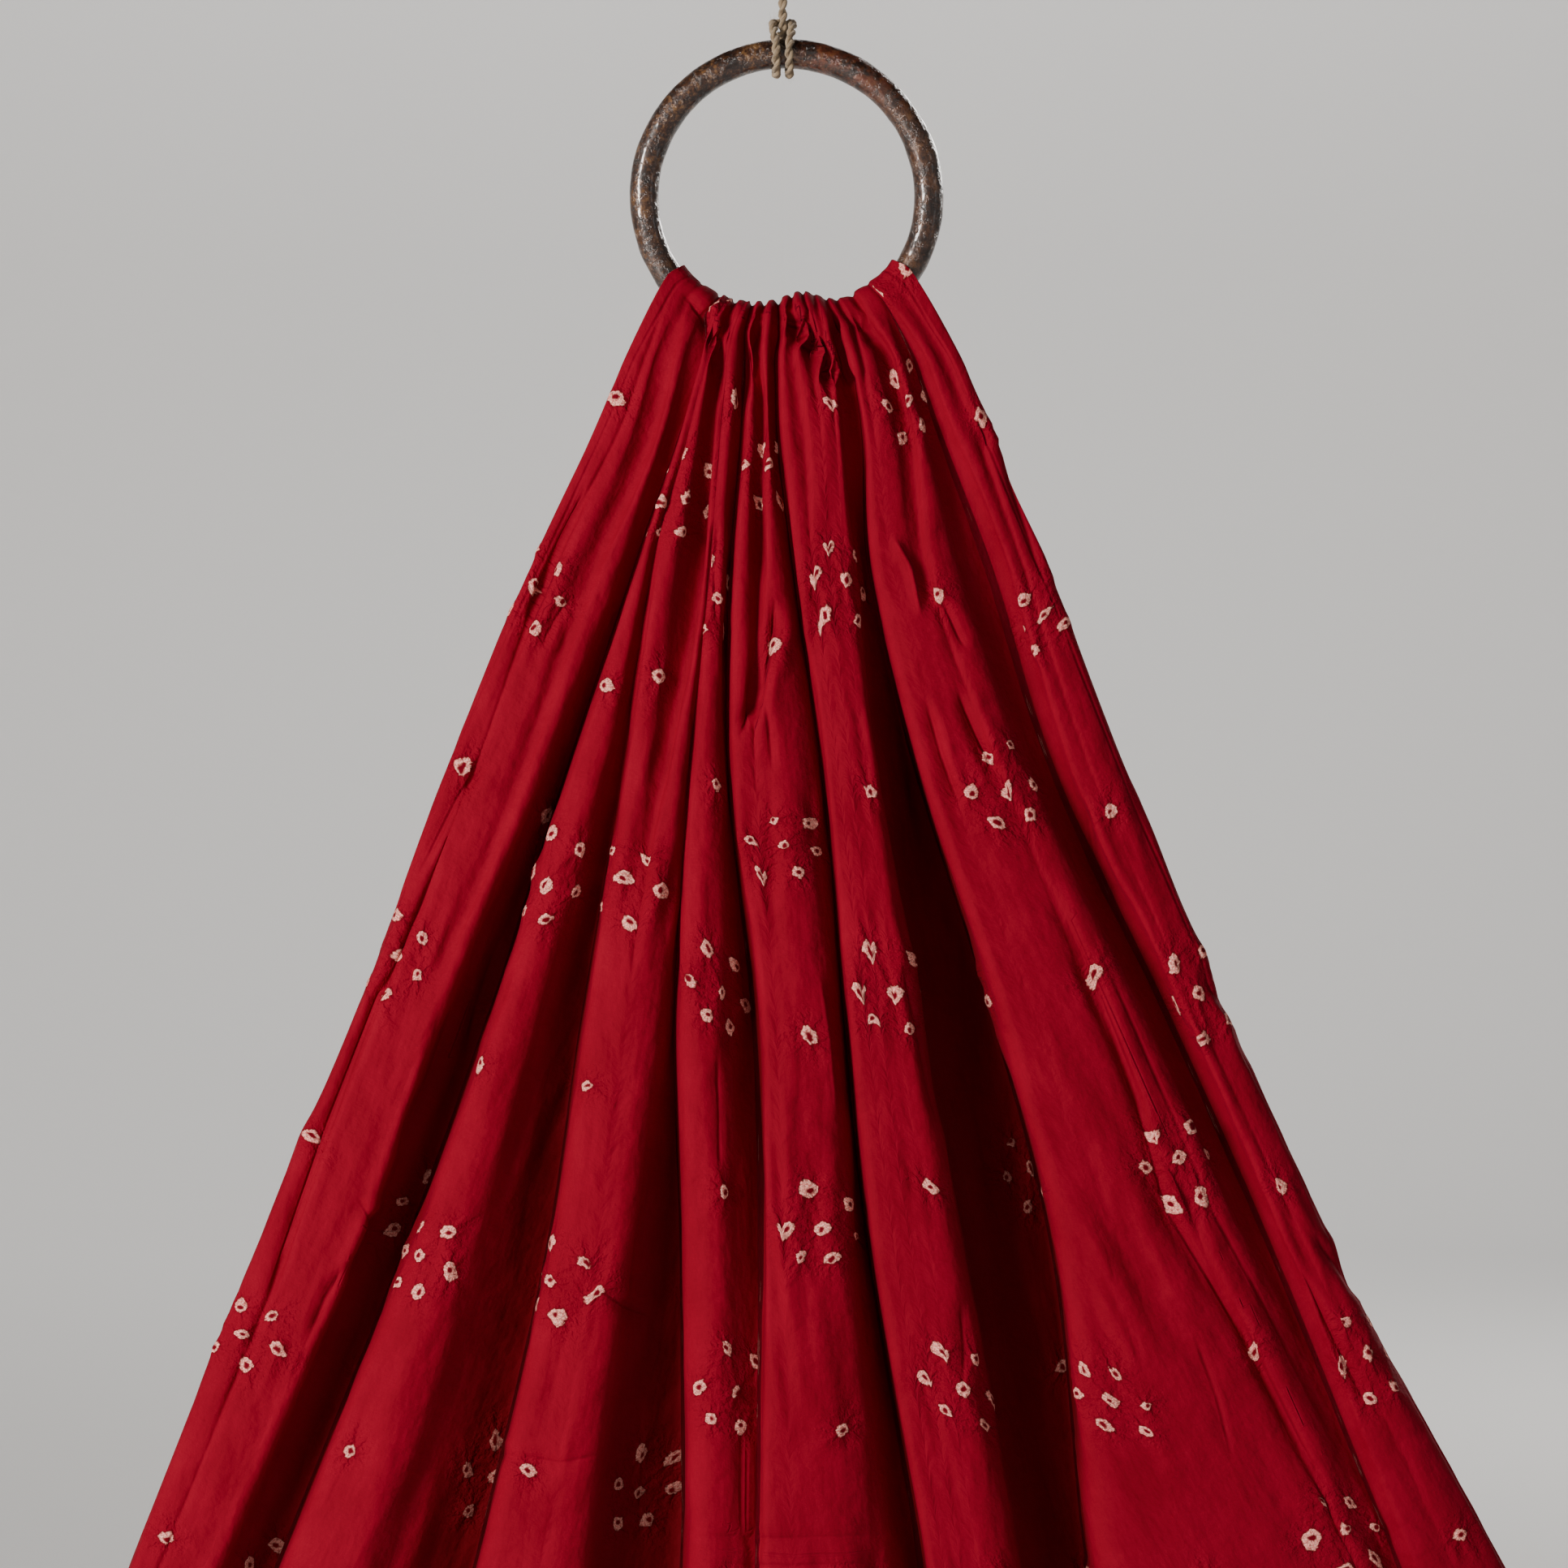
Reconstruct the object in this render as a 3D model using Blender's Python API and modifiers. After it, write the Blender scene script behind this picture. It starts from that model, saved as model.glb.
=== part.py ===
"""Bandhani cloth hung through a ring, as it hangs from its twine.

Frame: metres, +Z up, the front of the cloth faces -Y. The origin is at the top of the twine's knot,
where an outside hook or nail holds it. Sizes below are in millimetres and are scaled by MM.
"""
import math
from collections import namedtuple

import bmesh
import bpy
from mathutils import Matrix, Vector

MM = 0.001

# The ring
RING_OUTER_DIAMETER = 100.0
RING_TUBE_DIAMETER = 9.6
RING_CENTRE_X = 1.2
RING_CENTRE_Z = -72.4
RING_SEGMENTS = 60
RING_TUBE_SEGMENTS = 12
RING_TUBE_RADIUS = RING_TUBE_DIAMETER / 2
RING_RADIUS = RING_OUTER_DIAMETER / 2 - RING_TUBE_RADIUS
RING_TOP_Z = RING_CENTRE_Z + RING_RADIUS

# The twine and its knot
TWINE_DIAMETER = 2.7
TWINE_POINTS = 76
STRAND_END_Z = -7.8
KNOT_SIZE = Vector((9.2, 7.6, 7.5))
KNOT_RIDGES = 3
KNOT_RIDGE_HEIGHT = 0.07

# The cloth
CLOTH_THICKNESS = 1.1
CLOTH_CLEARANCE = 0.5
FRONT_LENGTH = 470.0
BACK_LENGTH = 462.0
BACK_WIDTH_SHARE = 0.97
EDGE_FALLOFF = 0.45
CREST_PULL = 0.30
CREST_PULL_REACH = 0.9
TUBE_COLUMNS = 6
EDGE_HALF = 0.1

# The mouths of the valleys: no narrower than these widths and shares, so that the cloth has room to turn
SMALLEST_MOUTH = 0.9
SMALLEST_MOUTH_SHARE = 0.16
SLIT_MOUTH = 2.4
SLIT_MOUTH_SHARE = 0.45
RING_MOUTH_SHARE = 1.1
RING_SMALLEST_MOUTH = 1.8
MOUTHS_SHARE_OF_TUBE = 0.62
LEANING_HALF = 1.1

# The back fan: its folds in tubes of the front one, and how far below the ring they are spread evenly
BACK_FOLD_PITCH = 1.5
BACK_SPREAD_DROP = 50.0

# Across a tube: share of its width, drop from its crest as a share of the valley's depth, and the valley it is on
TUBE_PROFILE = ((0.0, 0.5, "left"), (0.12, 0.1, "left"), (0.42, 0.0, "left"), (0.76, 0.12, "right"),
                (1.0, 0.5, "right"))

# Heights of the sections through the front fan, below the origin, and how far its crests stand forward there
LEVELS = (124.0, 150.0, 191.0, 255.0, 331.0, 407.0, 495.0)
CREST_REACH = (16.5, 18.0, 21.0, 27.0, 33.0, 37.0, 38.5)

# One row for each fold line of the front fan, from its left edge to its right one. A fold line is the middle of
# a valley, or an edge, and a tube of cloth stands between each two.
#   ring_deg    where the line crosses the ring's lower arc, in degrees anticlockwise from +X
#   ring_rise   how high the tube to its right stands off the ring
#   ring_depth  depth of the valley at the ring
#   across      place across at each of the LEVELS, from the ring's centre
#   depth       depth of the valley at each of the LEVELS
#   mouth       width of the valley at each of the LEVELS
#   lean        how far the bottom of a wide mouth lies to the right: 0 in its middle, 1 near its right wall
Fold = namedtuple("Fold", "name ring_deg ring_rise ring_depth across depth mouth lean")
FOLDS = (
    Fold("left_edge", 214.0, 0.3, 0.0, (-51, -62, -81, -108, -136, -168, -203),
         (2, 2.5, 3, 4, 5, 6, 6), (0, 0, 0, 0, 0, 0, 0), 0.0),
    Fold("left_selvedge", 218.5, 0.6, 0.2, (-44.5, -54, -75, -98.5, -129, -157.5, -193),
         (1.5, 1.5, 1.5, 1.2, 1.8, 1.2, 0.5), (1, 1, 1, 1.2, 1.5, 1.2, 1), 0.3),
    Fold("left_recess", 226.0, 1.6, 0.5, (-38, -44, -62, -84, -114.5, -142, -182),
         (4, 6, 4, 2.5, 1.5, 1.5, 1), (3.5, 5, 4, 3, 2, 2, 2), 0.0),
    Fold("left_valley", 236.0, 2.4, 1.3, (-28.4, -36.6, -49.5, -71.8, -99, -127, -163),
         (7, 9, 12, 14, 15, 14.5, 13.5), (4, 4, 3, 5.4, 12.4, 14, 15.5), 1.1),
    Fold("left_second", 240.0, 2.6, 0.2, (-25, -31.4, -42.4, -53, -69, -84, -106),
         (0.3, 1, 5, 10, 14, 16.5, 17), (1, 1, 1.6, 4, 11, 18, 22), 1.1),
    Fold("neck_valley", 244.0, 3.4, 1.4, (-21.6, -24.6, -28.4, -39, -50.5, -61, -77),
         (8, 10, 12.5, 3.5, 0, 0, 0), (2.4, 3, 6.2, 4, 0, 0, 0), 1.0),
    Fold("middle_dark", 248.5, 4.2, 0.2, (-18.5, -21, -24, -30.5, -35.8, -39.3, -44.6),
         (0.3, 0.3, 0.5, 4, 9, 15.5, 19), (0.8, 0.8, 1, 1.5, 3, 14, 26), 1.1),
    Fold("middle_left", 252.5, 5.2, 1.6, (-13.6, -14.9, -17.9, -18.6, -12.6, -10.6, -11),
         (9, 10, 10.5, 9, 12, 8.5, 4), (1.8, 2, 1.8, 2, 8, 8, 7), 1.0),
    Fold("neck_slit", 258.5, 6.2, 1.8, (-8.5, -7.9, -9, -9.9, -3.5, -1, 1.5),
         (7, 7.5, 8.5, 0.5, 0, 0, 0), (1.6, 2, 2.4, 0.5, 0, 0, 0), 0.8),
    Fold("middle_right", 265.5, 8.0, 2.2, (-4, -3.2, 1.8, 11, 17.9, 25, 37.4),
         (9, 10, 11, 10, 10, 13, 14), (1.8, 1.8, 1.6, 1.7, 1.8, 4.4, 10), 1.1),
    Fold("short_hollow", 273.0, 9.0, 1.6, (1.5, 5, 8.2, 16, 24.5, 34, 47.5),
         (2.5, 3, 0.4, 0, 0, 0, 0), (1.6, 2.2, 0.6, 0, 0, 0, 0), 0.3),
    Fold("slanting_pleat", 279.5, 8.4, 1.2, (7.5, 11, 13.5, 20, 29, 39, 53),
         (3, 0.4, 0, 0, 0, 0, 0), (1.5, 0.6, 0, 0, 0, 0, 0), 0.5),
    Fold("slanting_second", 285.5, 6.2, 0.6, (12.4, 15.6, 18, 24.5, 34.5, 45, 58.5),
         (3, 0.5, 0, 0, 0, 0, 0), (2, 0.6, 0, 0, 0, 0, 0), 0.5),
    Fold("wide_dark", 291.0, 4.2, 1.0, (17.8, 21, 24.6, 36, 54.8, 71.5, 84),
         (11, 13, 16.5, 22, 24.5, 24.5, 21), (4, 4.6, 3, 9.6, 21, 26.5, 20), 1.1),
    Fold("neck_notch", 296.0, 2.6, 0.9, (23.3, 28, 33.5, 50, 76, 99, 122),
         (1.5, 0.3, 0, 0, 0, 0, 0), (1.2, 0.6, 0, 0, 0, 0, 0), 0.5),
    Fold("right_crease", 303.5, 2.2, 1.2, (31.5, 37.8, 43.7, 66.8, 98.6, 131.7, 173.7),
         (8, 6, 2.5, 1, 1.2, 1.2, 1), (3, 3, 2, 1.5, 1.2, 1.2, 1), 0.7),
    Fold("right_valley", 312.5, 1.4, 0.6, (40, 49, 63.7, 84, 119.5, 153, 188.4),
         (8, 10.5, 12, 11, 9.5, 7, 4.5), (4, 5, 9.5, 9, 11, 10, 8), 0.3),
    Fold("right_selvedge", 320.5, 0.4, 0.1, (49.7, 60.5, 74.9, 95.9, 129.5, 164.6, 205.3),
         (2.5, 2, 0.8, 0.4, 0.3, 0.3, 0.3), (2, 1.6, 1, 1, 1, 1, 1), 0.0),
    Fold("right_edge", 329.0, 0.0, 0.0, (55.3, 66.2, 82.9, 107.6, 139, 174, 220.5),
         (2, 2.5, 3, 4, 5, 6, 6), (0, 0, 0, 0, 0, 0, 0), 0.0),
)

# Rows of the cloth: shares of the way down each fan, and angles round the ring's tube, 90 at the front
FRONT_SHARES = (1.0, 0.88, 0.76, 0.64, 0.52, 0.41, 0.31, 0.22, 0.14, 0.06, 0.0)
TUBE_ANGLES = (90.0, 54.0, 18.0, -18.0, -54.0, -90.0)
BACK_SHARES = (0.05, 0.22, 0.45, 0.72, 1.0)
BACK_BASE = (6.8, 7.0, 7.5, 7.5, 7.5, 7.5, 7.5)
BACK_FOLD_HEIGHT = (4.0, 8.5, 15.5, 18.5, 18.0, 17.0, 16.0)

# The part's colours, as linear red, green and blue
CLOTH_RED = (0.36, 0.004, 0.016, 1.0)
RING_BROWN = (0.085, 0.038, 0.020, 1.0)
JUTE = (0.36, 0.25, 0.15, 1.0)


def clear_scene():
    """Remove what the new file holds."""
    for thing in list(bpy.data.objects):
        bpy.data.objects.remove(thing, do_unlink=True)


def material(name, colour, roughness, metallic=0.0):
    """A plain Principled material."""
    made = bpy.data.materials.new(name)
    made.use_nodes = True
    shader = made.node_tree.nodes["Principled BSDF"]
    shader.inputs["Base Color"].default_value = colour
    shader.inputs["Roughness"].default_value = roughness
    shader.inputs["Metallic"].default_value = metallic
    return made


def add_part(name, mesh_or_curve, finish, collection):
    """Put one named piece in the part's collection."""
    piece = bpy.data.objects.new(name, mesh_or_curve)
    piece.data.materials.append(finish)
    collection.objects.link(piece)
    return piece


def smooth_value(places, values, place):
    """Read a value off a smooth curve through a table, straight beyond the table's ends."""
    last = len(places) - 1
    if place >= places[last]:
        slope = (values[last] - values[last - 1]) / (places[last] - places[last - 1])
        return values[last] + slope * (place - places[last])
    index = max(i for i in range(last) if places[i] <= place or i == 0)
    start, end = places[index], places[index + 1]
    width = end - start
    step = (values[index + 1] - values[index]) / width
    before = after = step
    if index > 0:
        before = (values[index + 1] - values[index - 1]) / (end - places[index - 1])
    if index + 1 < last:
        after = (values[index + 2] - values[index]) / (places[index + 2] - start)
    t = (place - start) / width
    return (values[index] * (1 + 2 * t) * (1 - t) ** 2 + values[index + 1] * t * t * (3 - 2 * t)
            + width * (before * t * (1 - t) ** 2 - after * t * t * (1 - t)))


def held_value(places, values, place):
    """The same curve, held level beyond the table's ends and never below zero."""
    return max(0.0, smooth_value(places, values, min(max(place, places[0]), places[-1])))


def tube_points(left, right, crest):
    """The six control points of one tube of cloth, from the bottom of its left valley to its right wall.

    left is (wall, bottom_place, bottom_height) of the left valley, right is that of the right one, and crest gives
    the height of the cloth's crests at a place. The tube is steep on its left and slopes away to its right.
    """
    width = right[0] - left[0]
    points = [(left[1], left[2])]
    for share, drop, foot in TUBE_PROFILE:
        place = left[0] + share * width
        low = (left if foot == "left" else right)[2]
        points.append((place, low + (crest(place) - low) * (1 - drop)))
    return points


def section(places, depths, mouths, crest, column=None):
    """Points (place, height) across the cloth at one height, or only those of one column's tube."""
    widths = [b - a for a, b in zip(places, places[1:])]
    halves = []
    for index, (mouth, depth) in enumerate(zip(mouths, depths)):
        narrower = min(widths[max(index - 1, 0):index + 1])
        slit = min(depth * SLIT_MOUTH_SHARE, SLIT_MOUTH)
        halves.append(max(mouth, slit, SMALLEST_MOUTH, narrower * SMALLEST_MOUTH_SHARE) / 2)
    halves[0] = halves[-1] = EDGE_HALF
    lows = [crest(place) - depth for place, depth in zip(places, depths)]
    bottoms = [place + fold.lean * max(half - LEANING_HALF, 0.0)
               for place, fold, half in zip(places, FOLDS, halves)]
    bottoms[0], bottoms[-1] = places[0], places[-1]
    tubes = range(len(widths)) if column is None else [min(column // TUBE_COLUMNS, len(widths) - 1)]
    points = []
    for tube in tubes:
        narrowed = min(1.0, widths[tube] * MOUTHS_SHARE_OF_TUBE / (halves[tube] + halves[tube + 1]))
        left = (places[tube] + halves[tube] * narrowed, bottoms[tube], lows[tube])
        right = (places[tube + 1] - halves[tube + 1] * narrowed, bottoms[tube + 1], lows[tube + 1])
        points += tube_points(left, right, crest)
    if column is None or column // TUBE_COLUMNS == len(widths):
        points.append((bottoms[-1], lows[-1]))
    return points


def front_crest(places, depths, level):
    """How far forward the crests stand at a height: less near the edges and beside deep valleys."""
    reach = held_value(LEVELS, CREST_REACH, level)
    edge = max(-places[0], places[-1])

    def crest(place):
        height = reach * (1 - EDGE_FALLOFF * (place / edge) ** 2)
        for where, depth in zip(places, depths):
            if depth > 0:
                spread = CREST_PULL_REACH * depth + 1
                height -= CREST_PULL * depth * math.exp(-abs(place - where) / spread)
        return height

    return crest


def front_point(column, level):
    """Place across and distance forward of one column at a height below the origin."""
    places = [smooth_value(LEVELS, fold.across, level) for fold in FOLDS]
    depths = [held_value(LEVELS, fold.depth, level) for fold in FOLDS]
    mouths = [held_value(LEVELS, fold.mouth, level) for fold in FOLDS]
    points = section(places, depths, mouths, front_crest(places, depths, level), column)
    return points[column - TUBE_COLUMNS * min(column // TUBE_COLUMNS, len(FOLDS) - 2)]


def ring_section():
    """Points (degrees on the ring, height off its tube) across the gathers."""
    per_degree = math.radians(RING_RADIUS)
    places = [fold.ring_deg * per_degree for fold in FOLDS]
    middles = [(a + b) / 2 for a, b in zip(places, places[1:])]
    rises = [fold.ring_rise for fold in FOLDS[:-1]]

    def crest(place):
        return held_value(middles, rises, place)

    depths = [min(fold.ring_depth, crest(place)) for fold, place in zip(FOLDS, places)]
    mouths = [max(depth * RING_MOUTH_SHARE, RING_SMALLEST_MOUTH) for depth in depths]
    return [(place / per_degree, max(height, 0.0)) for place, height in section(places, depths, mouths, crest)]


def ring_point(degrees, off, tube_angle):
    """A point off the ring's tube: 90 degrees is its front, 0 its inner side and -90 its back."""
    along = math.radians(degrees)
    around = math.radians(tube_angle)
    outward = Vector((math.cos(along), 0.0, math.sin(along)))
    centre = Vector((RING_CENTRE_X, 0.0, RING_CENTRE_Z)) + outward * RING_RADIUS
    way = -outward * math.cos(around) + Vector((0.0, -1.0, 0.0)) * math.sin(around)
    return centre + way * (RING_TUBE_RADIUS + CLOTH_CLEARANCE + CLOTH_THICKNESS / 2 + off)


def front_place(column, level):
    """Place across of one column, spread evenly between the fold lines."""
    tube = min(column // TUBE_COLUMNS, len(FOLDS) - 2)
    left = smooth_value(LEVELS, FOLDS[tube].across, level)
    right = smooth_value(LEVELS, FOLDS[tube + 1].across, level)
    return left + (right - left) * (column / TUBE_COLUMNS - tube)


def back_place(column, level):
    """Place across of one column of the back fan: as it is gathered at the ring, and spread evenly below it."""
    left, right = (smooth_value(LEVELS, fold.across, level) for fold in (FOLDS[0], FOLDS[-1]))
    even = left + (right - left) * column / (TUBE_COLUMNS * (len(FOLDS) - 1))
    spread = min(max((level - LEVELS[0]) / BACK_SPREAD_DROP, 0.0), 1.0)
    return front_place(column, level) * (1 - spread) + even * spread


def hem_level(column, start, length, place_of):
    """The height below the origin at which a column of the given length ends."""
    level = -start.z + length
    for _ in range(6):
        across = place_of(column, level) + RING_CENTRE_X - start.x
        level = -start.z + math.sqrt(length ** 2 - across ** 2)
    return level


def cloth_rows():
    """Rows of points from the front hem, up over the ring and down to the back hem."""
    gathers = ring_section()
    columns = range(len(gathers))
    front_ends = []
    back_ends = []
    for column in columns:
        start = ring_point(*gathers[column], TUBE_ANGLES[0])
        front_ends.append(hem_level(column, start, FRONT_LENGTH, front_place))
        back_ends.append(hem_level(column, start, BACK_LENGTH, back_place))
    rows = []
    for share in FRONT_SHARES:
        row = []
        for column in columns:
            level = LEVELS[0] + share * (front_ends[column] - LEVELS[0])
            across, forward = front_point(column, level)
            row.append(Vector((RING_CENTRE_X + across, -forward, -level)))
        rows.append(row)
    for tube_angle in TUBE_ANGLES:
        rows.append([ring_point(degrees, off, tube_angle) for degrees, off in gathers])
    for share in BACK_SHARES:
        row = []
        for column in columns:
            level = LEVELS[0] + share * (back_ends[column] - LEVELS[0])
            across = back_place(column, level) * BACK_WIDTH_SHARE
            wave = (1 - math.cos(2 * math.pi * column / (TUBE_COLUMNS * BACK_FOLD_PITCH))) / 2
            behind = (held_value(LEVELS, BACK_BASE, level)
                      + wave * held_value(LEVELS, BACK_FOLD_HEIGHT, level))
            row.append(Vector((RING_CENTRE_X + across, behind, -level)))
        rows.append(row)
    return rows


def cloth_mesh():
    """One open sheet through the rows, its outer side away from the ring."""
    shape = bmesh.new()
    grid = [[shape.verts.new(point * MM) for point in row] for row in cloth_rows()]
    for lower, upper in zip(grid, grid[1:]):
        for column in range(len(lower) - 1):
            shape.faces.new((lower[column], lower[column + 1], upper[column + 1], upper[column]))
    mesh = bpy.data.meshes.new("cloth")
    shape.to_mesh(mesh)
    shape.free()
    mesh.shade_smooth()
    return mesh


def add_cloth(collection):
    """The cloth: a thin sheet, thickened evenly to both sides."""
    cloth = add_part("cloth", cloth_mesh(), material("red_cotton", CLOTH_RED, 0.85), collection)
    thickness = cloth.modifiers.new("thickness", "SOLIDIFY")
    thickness.thickness = CLOTH_THICKNESS * MM
    thickness.offset = 0.0
    thickness.use_even_offset = False
    return cloth


def add_ring(collection):
    """The ring, upright and facing the front."""
    bpy.ops.mesh.primitive_torus_add(
        major_radius=RING_RADIUS * MM, minor_radius=RING_TUBE_RADIUS * MM,
        major_segments=RING_SEGMENTS, minor_segments=RING_TUBE_SEGMENTS,
        location=(RING_CENTRE_X * MM, 0.0, RING_CENTRE_Z * MM), rotation=(math.pi / 2, 0.0, 0.0))
    ring = bpy.context.object
    ring.name = "ring"
    ring.data.name = "ring"
    ring.data.shade_smooth()
    ring.data.materials.append(material("brown_patina", RING_BROWN, 0.3, 0.6))
    for home in list(ring.users_collection):
        home.objects.unlink(ring)
    collection.objects.link(ring)
    return ring


def twine_route():
    """The lark's head: down the front strand, round the ring twice and up the strand behind it."""
    def about_ring(x, degrees, off):
        around = math.radians(degrees)
        return Vector((x, -math.sin(around) * off, RING_TOP_Z + math.cos(around) * off))

    wrap = RING_TUBE_RADIUS + 0.3 + TWINE_DIAMETER / 2
    route = [Vector((0.0, -1.6, STRAND_END_Z)), Vector((0.0, -1.6, -12.0)), Vector((0.0, -1.5, -16.0)),
             Vector((0.0, -0.9, -19.4)), Vector((-0.9, 1.5, -21.0)), Vector((-1.8, 4.4, -22.6))]
    route += [about_ring(-2.1, degrees, wrap) for degrees in (-80, -120, -155, 170, 135, 100, 66)]
    route += [Vector((-2.7, -4.3, -21.3)), Vector((-3.0, -2.0, -18.9)), Vector((-3.0, 1.0, -17.5)),
              Vector((-2.7, 3.6, -17.0)), Vector((0.0, 5.2, -16.9)), Vector((2.7, 3.6, -17.0)),
              Vector((3.0, 1.0, -17.5)), Vector((3.0, -2.0, -18.9)), Vector((2.7, -4.3, -21.3))]
    route += [about_ring(2.1, degrees, wrap) for degrees in (66, 100, 135, 170, -155, -120, -88)]
    route += [Vector((1.9, 5.7, -23.8)), Vector((1.1, 4.0, -20.5)), Vector((0.3, 2.2, -17.9)),
              Vector((0.0, 1.6, -14.5)), Vector((0.0, 1.6, -11.0)), Vector((0.0, 1.6, STRAND_END_Z))]
    return route


def smooth_path(route, count):
    """Points spaced evenly along a smooth curve through the route's own points."""
    lengths = [0.0]
    for a, b in zip(route, route[1:]):
        lengths.append(lengths[-1] + (b - a).length)
    fine = 12 * count
    curve = []
    for step in range(fine + 1):
        place = lengths[-1] * step / fine
        curve.append(Vector([smooth_value(lengths, [point[axis] for point in route], place)
                             for axis in range(3)]))
    along = [0.0]
    for a, b in zip(curve, curve[1:]):
        along.append(along[-1] + (b - a).length)
    path = []
    nearest = 0
    for step in range(count):
        place = along[-1] * step / (count - 1)
        while nearest < fine and along[nearest] < place - 1e-9:
            nearest += 1
        path.append(curve[nearest])
    return path


def add_twine(collection):
    """The twine: one round cord along its route."""
    curve = bpy.data.curves.new("twine", "CURVE")
    curve.dimensions = "3D"
    curve.bevel_depth = TWINE_DIAMETER / 2 * MM
    curve.bevel_resolution = 2
    curve.use_fill_caps = True
    path = smooth_path(twine_route(), TWINE_POINTS)
    spline = curve.splines.new("POLY")
    spline.points.add(len(path) - 1)
    for point, place in zip(spline.points, path):
        point.co = (*(place * MM), 1.0)
    return add_part("twine", curve, material("jute", JUTE, 0.95), collection)


def add_knot(collection):
    """The knot: a ridged lump of twine just above the ends of the two strands."""
    shape = bmesh.new()
    bmesh.ops.create_uvsphere(shape, u_segments=24, v_segments=14, radius=0.5)
    for vert in shape.verts:
        turn = math.atan2(vert.co.y, vert.co.x)
        ridge = 1 + KNOT_RIDGE_HEIGHT * math.cos(KNOT_RIDGES * turn + 8 * vert.co.z) * (1 - 4 * vert.co.z ** 2)
        vert.co.x *= ridge
        vert.co.y *= ridge
    bmesh.ops.transform(shape, matrix=Matrix.Diagonal((*KNOT_SIZE, 1.0)), verts=shape.verts)
    bmesh.ops.translate(shape, vec=(0.0, 0.0, -KNOT_SIZE.z / 2), verts=shape.verts)
    bmesh.ops.scale(shape, vec=(MM, MM, MM), verts=shape.verts)
    mesh = bpy.data.meshes.new("twine_knot")
    shape.to_mesh(mesh)
    shape.free()
    mesh.shade_smooth()
    return add_part("twine_knot", mesh, material("jute_knot", JUTE, 0.95), collection)


def main():
    """Build the part."""
    clear_scene()
    collection = bpy.data.collections.new("bandhani_cloth_on_ring")
    bpy.context.scene.collection.children.link(collection)
    add_ring(collection)
    add_cloth(collection)
    add_twine(collection)
    add_knot(collection)


main()
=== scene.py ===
# Red bandhani cloth drawn through a dark brass ring, hanging from its twine.
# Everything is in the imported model's frame: metres, +Z up, the front of the cloth faces -Y.
# Shapes are set out in millimetres and turned into metres when a mesh is made. The camera, the lights, the
# materials, and the sizes of the cord and of the flat cloth are in metres.
import math

import bpy
import numpy as np
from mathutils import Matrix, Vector


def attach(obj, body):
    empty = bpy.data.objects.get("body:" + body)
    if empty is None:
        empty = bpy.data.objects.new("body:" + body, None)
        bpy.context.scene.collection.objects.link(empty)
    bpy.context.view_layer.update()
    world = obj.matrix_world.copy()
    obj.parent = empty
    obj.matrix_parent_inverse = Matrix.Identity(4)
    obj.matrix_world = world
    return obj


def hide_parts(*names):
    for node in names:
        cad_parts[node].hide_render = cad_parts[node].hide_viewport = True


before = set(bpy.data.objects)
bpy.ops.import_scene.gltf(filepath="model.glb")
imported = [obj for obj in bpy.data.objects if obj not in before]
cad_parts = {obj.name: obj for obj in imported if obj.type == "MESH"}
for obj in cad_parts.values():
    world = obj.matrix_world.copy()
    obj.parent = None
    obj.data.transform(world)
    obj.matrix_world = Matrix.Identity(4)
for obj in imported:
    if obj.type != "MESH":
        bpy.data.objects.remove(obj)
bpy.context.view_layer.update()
mm = 0.001
chance = np.random.default_rng(7)
print("stage: frame loaded")


# Small helpers for node materials and grids


def newMaterial(name, values):
    made = bpy.data.materials.new(name)
    made.use_nodes = True
    shader = made.node_tree.nodes["Principled BSDF"]
    for socket, value in values.items():
        shader.inputs[socket].default_value = value
    return made, made.node_tree, shader


def addNode(tree, kind, inputs, **settings):
    node = tree.nodes.new(kind)
    for key, value in settings.items():
        setattr(node, key, value)
    for key, value in inputs.items():
        if isinstance(value, bpy.types.NodeSocket):
            tree.links.new(value, node.inputs[key])
        else:
            node.inputs[key].default_value = value
    return node


def maths(tree, operation, first, second=0.0, third=0.0):
    return addNode(tree, "ShaderNodeMath", {0: first, 1: second, 2: third}, operation=operation).outputs[0]


def times(tree, first, second):
    return maths(tree, "MULTIPLY", first, second)


def plus(tree, first, second):
    return maths(tree, "ADD", first, second)


def minus(tree, first, second):
    return maths(tree, "SUBTRACT", first, second)


def scaled(tree, value, factor, rest):
    return maths(tree, "MULTIPLY_ADD", value, factor, rest)


def soften(tree, value, low, high, bottom=0.0, top=1.0):
    node = addNode(tree, "ShaderNodeMapRange", {0: value, 1: low, 2: high, 3: bottom, 4: top},
                   interpolation_type="SMOOTHSTEP")
    return node.outputs[0]


def mixColours(tree, share, first, second, blend="MIX"):
    node = addNode(tree, "ShaderNodeMix", {}, data_type="RGBA", blend_type=blend)
    for key, value in ((0, share), (6, first), (7, second)):
        if isinstance(value, bpy.types.NodeSocket):
            tree.links.new(value, node.inputs[key])
        else:
            node.inputs[key].default_value = value
    return node.outputs[2]


def noise(tree, where, scale, detail=3.0, rough=0.55):
    return addNode(tree, "ShaderNodeTexNoise",
                   {"Vector": where, "Scale": scale, "Detail": detail, "Roughness": rough}).outputs[0]


def stretched(tree, where, scale):
    return addNode(tree, "ShaderNodeMapping", {"Vector": where, "Scale": scale}).outputs[0]


def bump(tree, height, strength, distance, normal=None):
    node = addNode(tree, "ShaderNodeBump", {"Height": height, "Strength": strength, "Distance": distance})
    if normal is not None:
        tree.links.new(normal, node.inputs["Normal"])
    return node.outputs[0]


def gridFaces(rows, columns):
    corner = (np.arange(rows - 1)[:, None] * columns + np.arange(columns - 1)[None, :]).ravel()
    return np.stack([corner, corner + 1, corner + columns + 1, corner + columns], axis=1)


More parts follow.
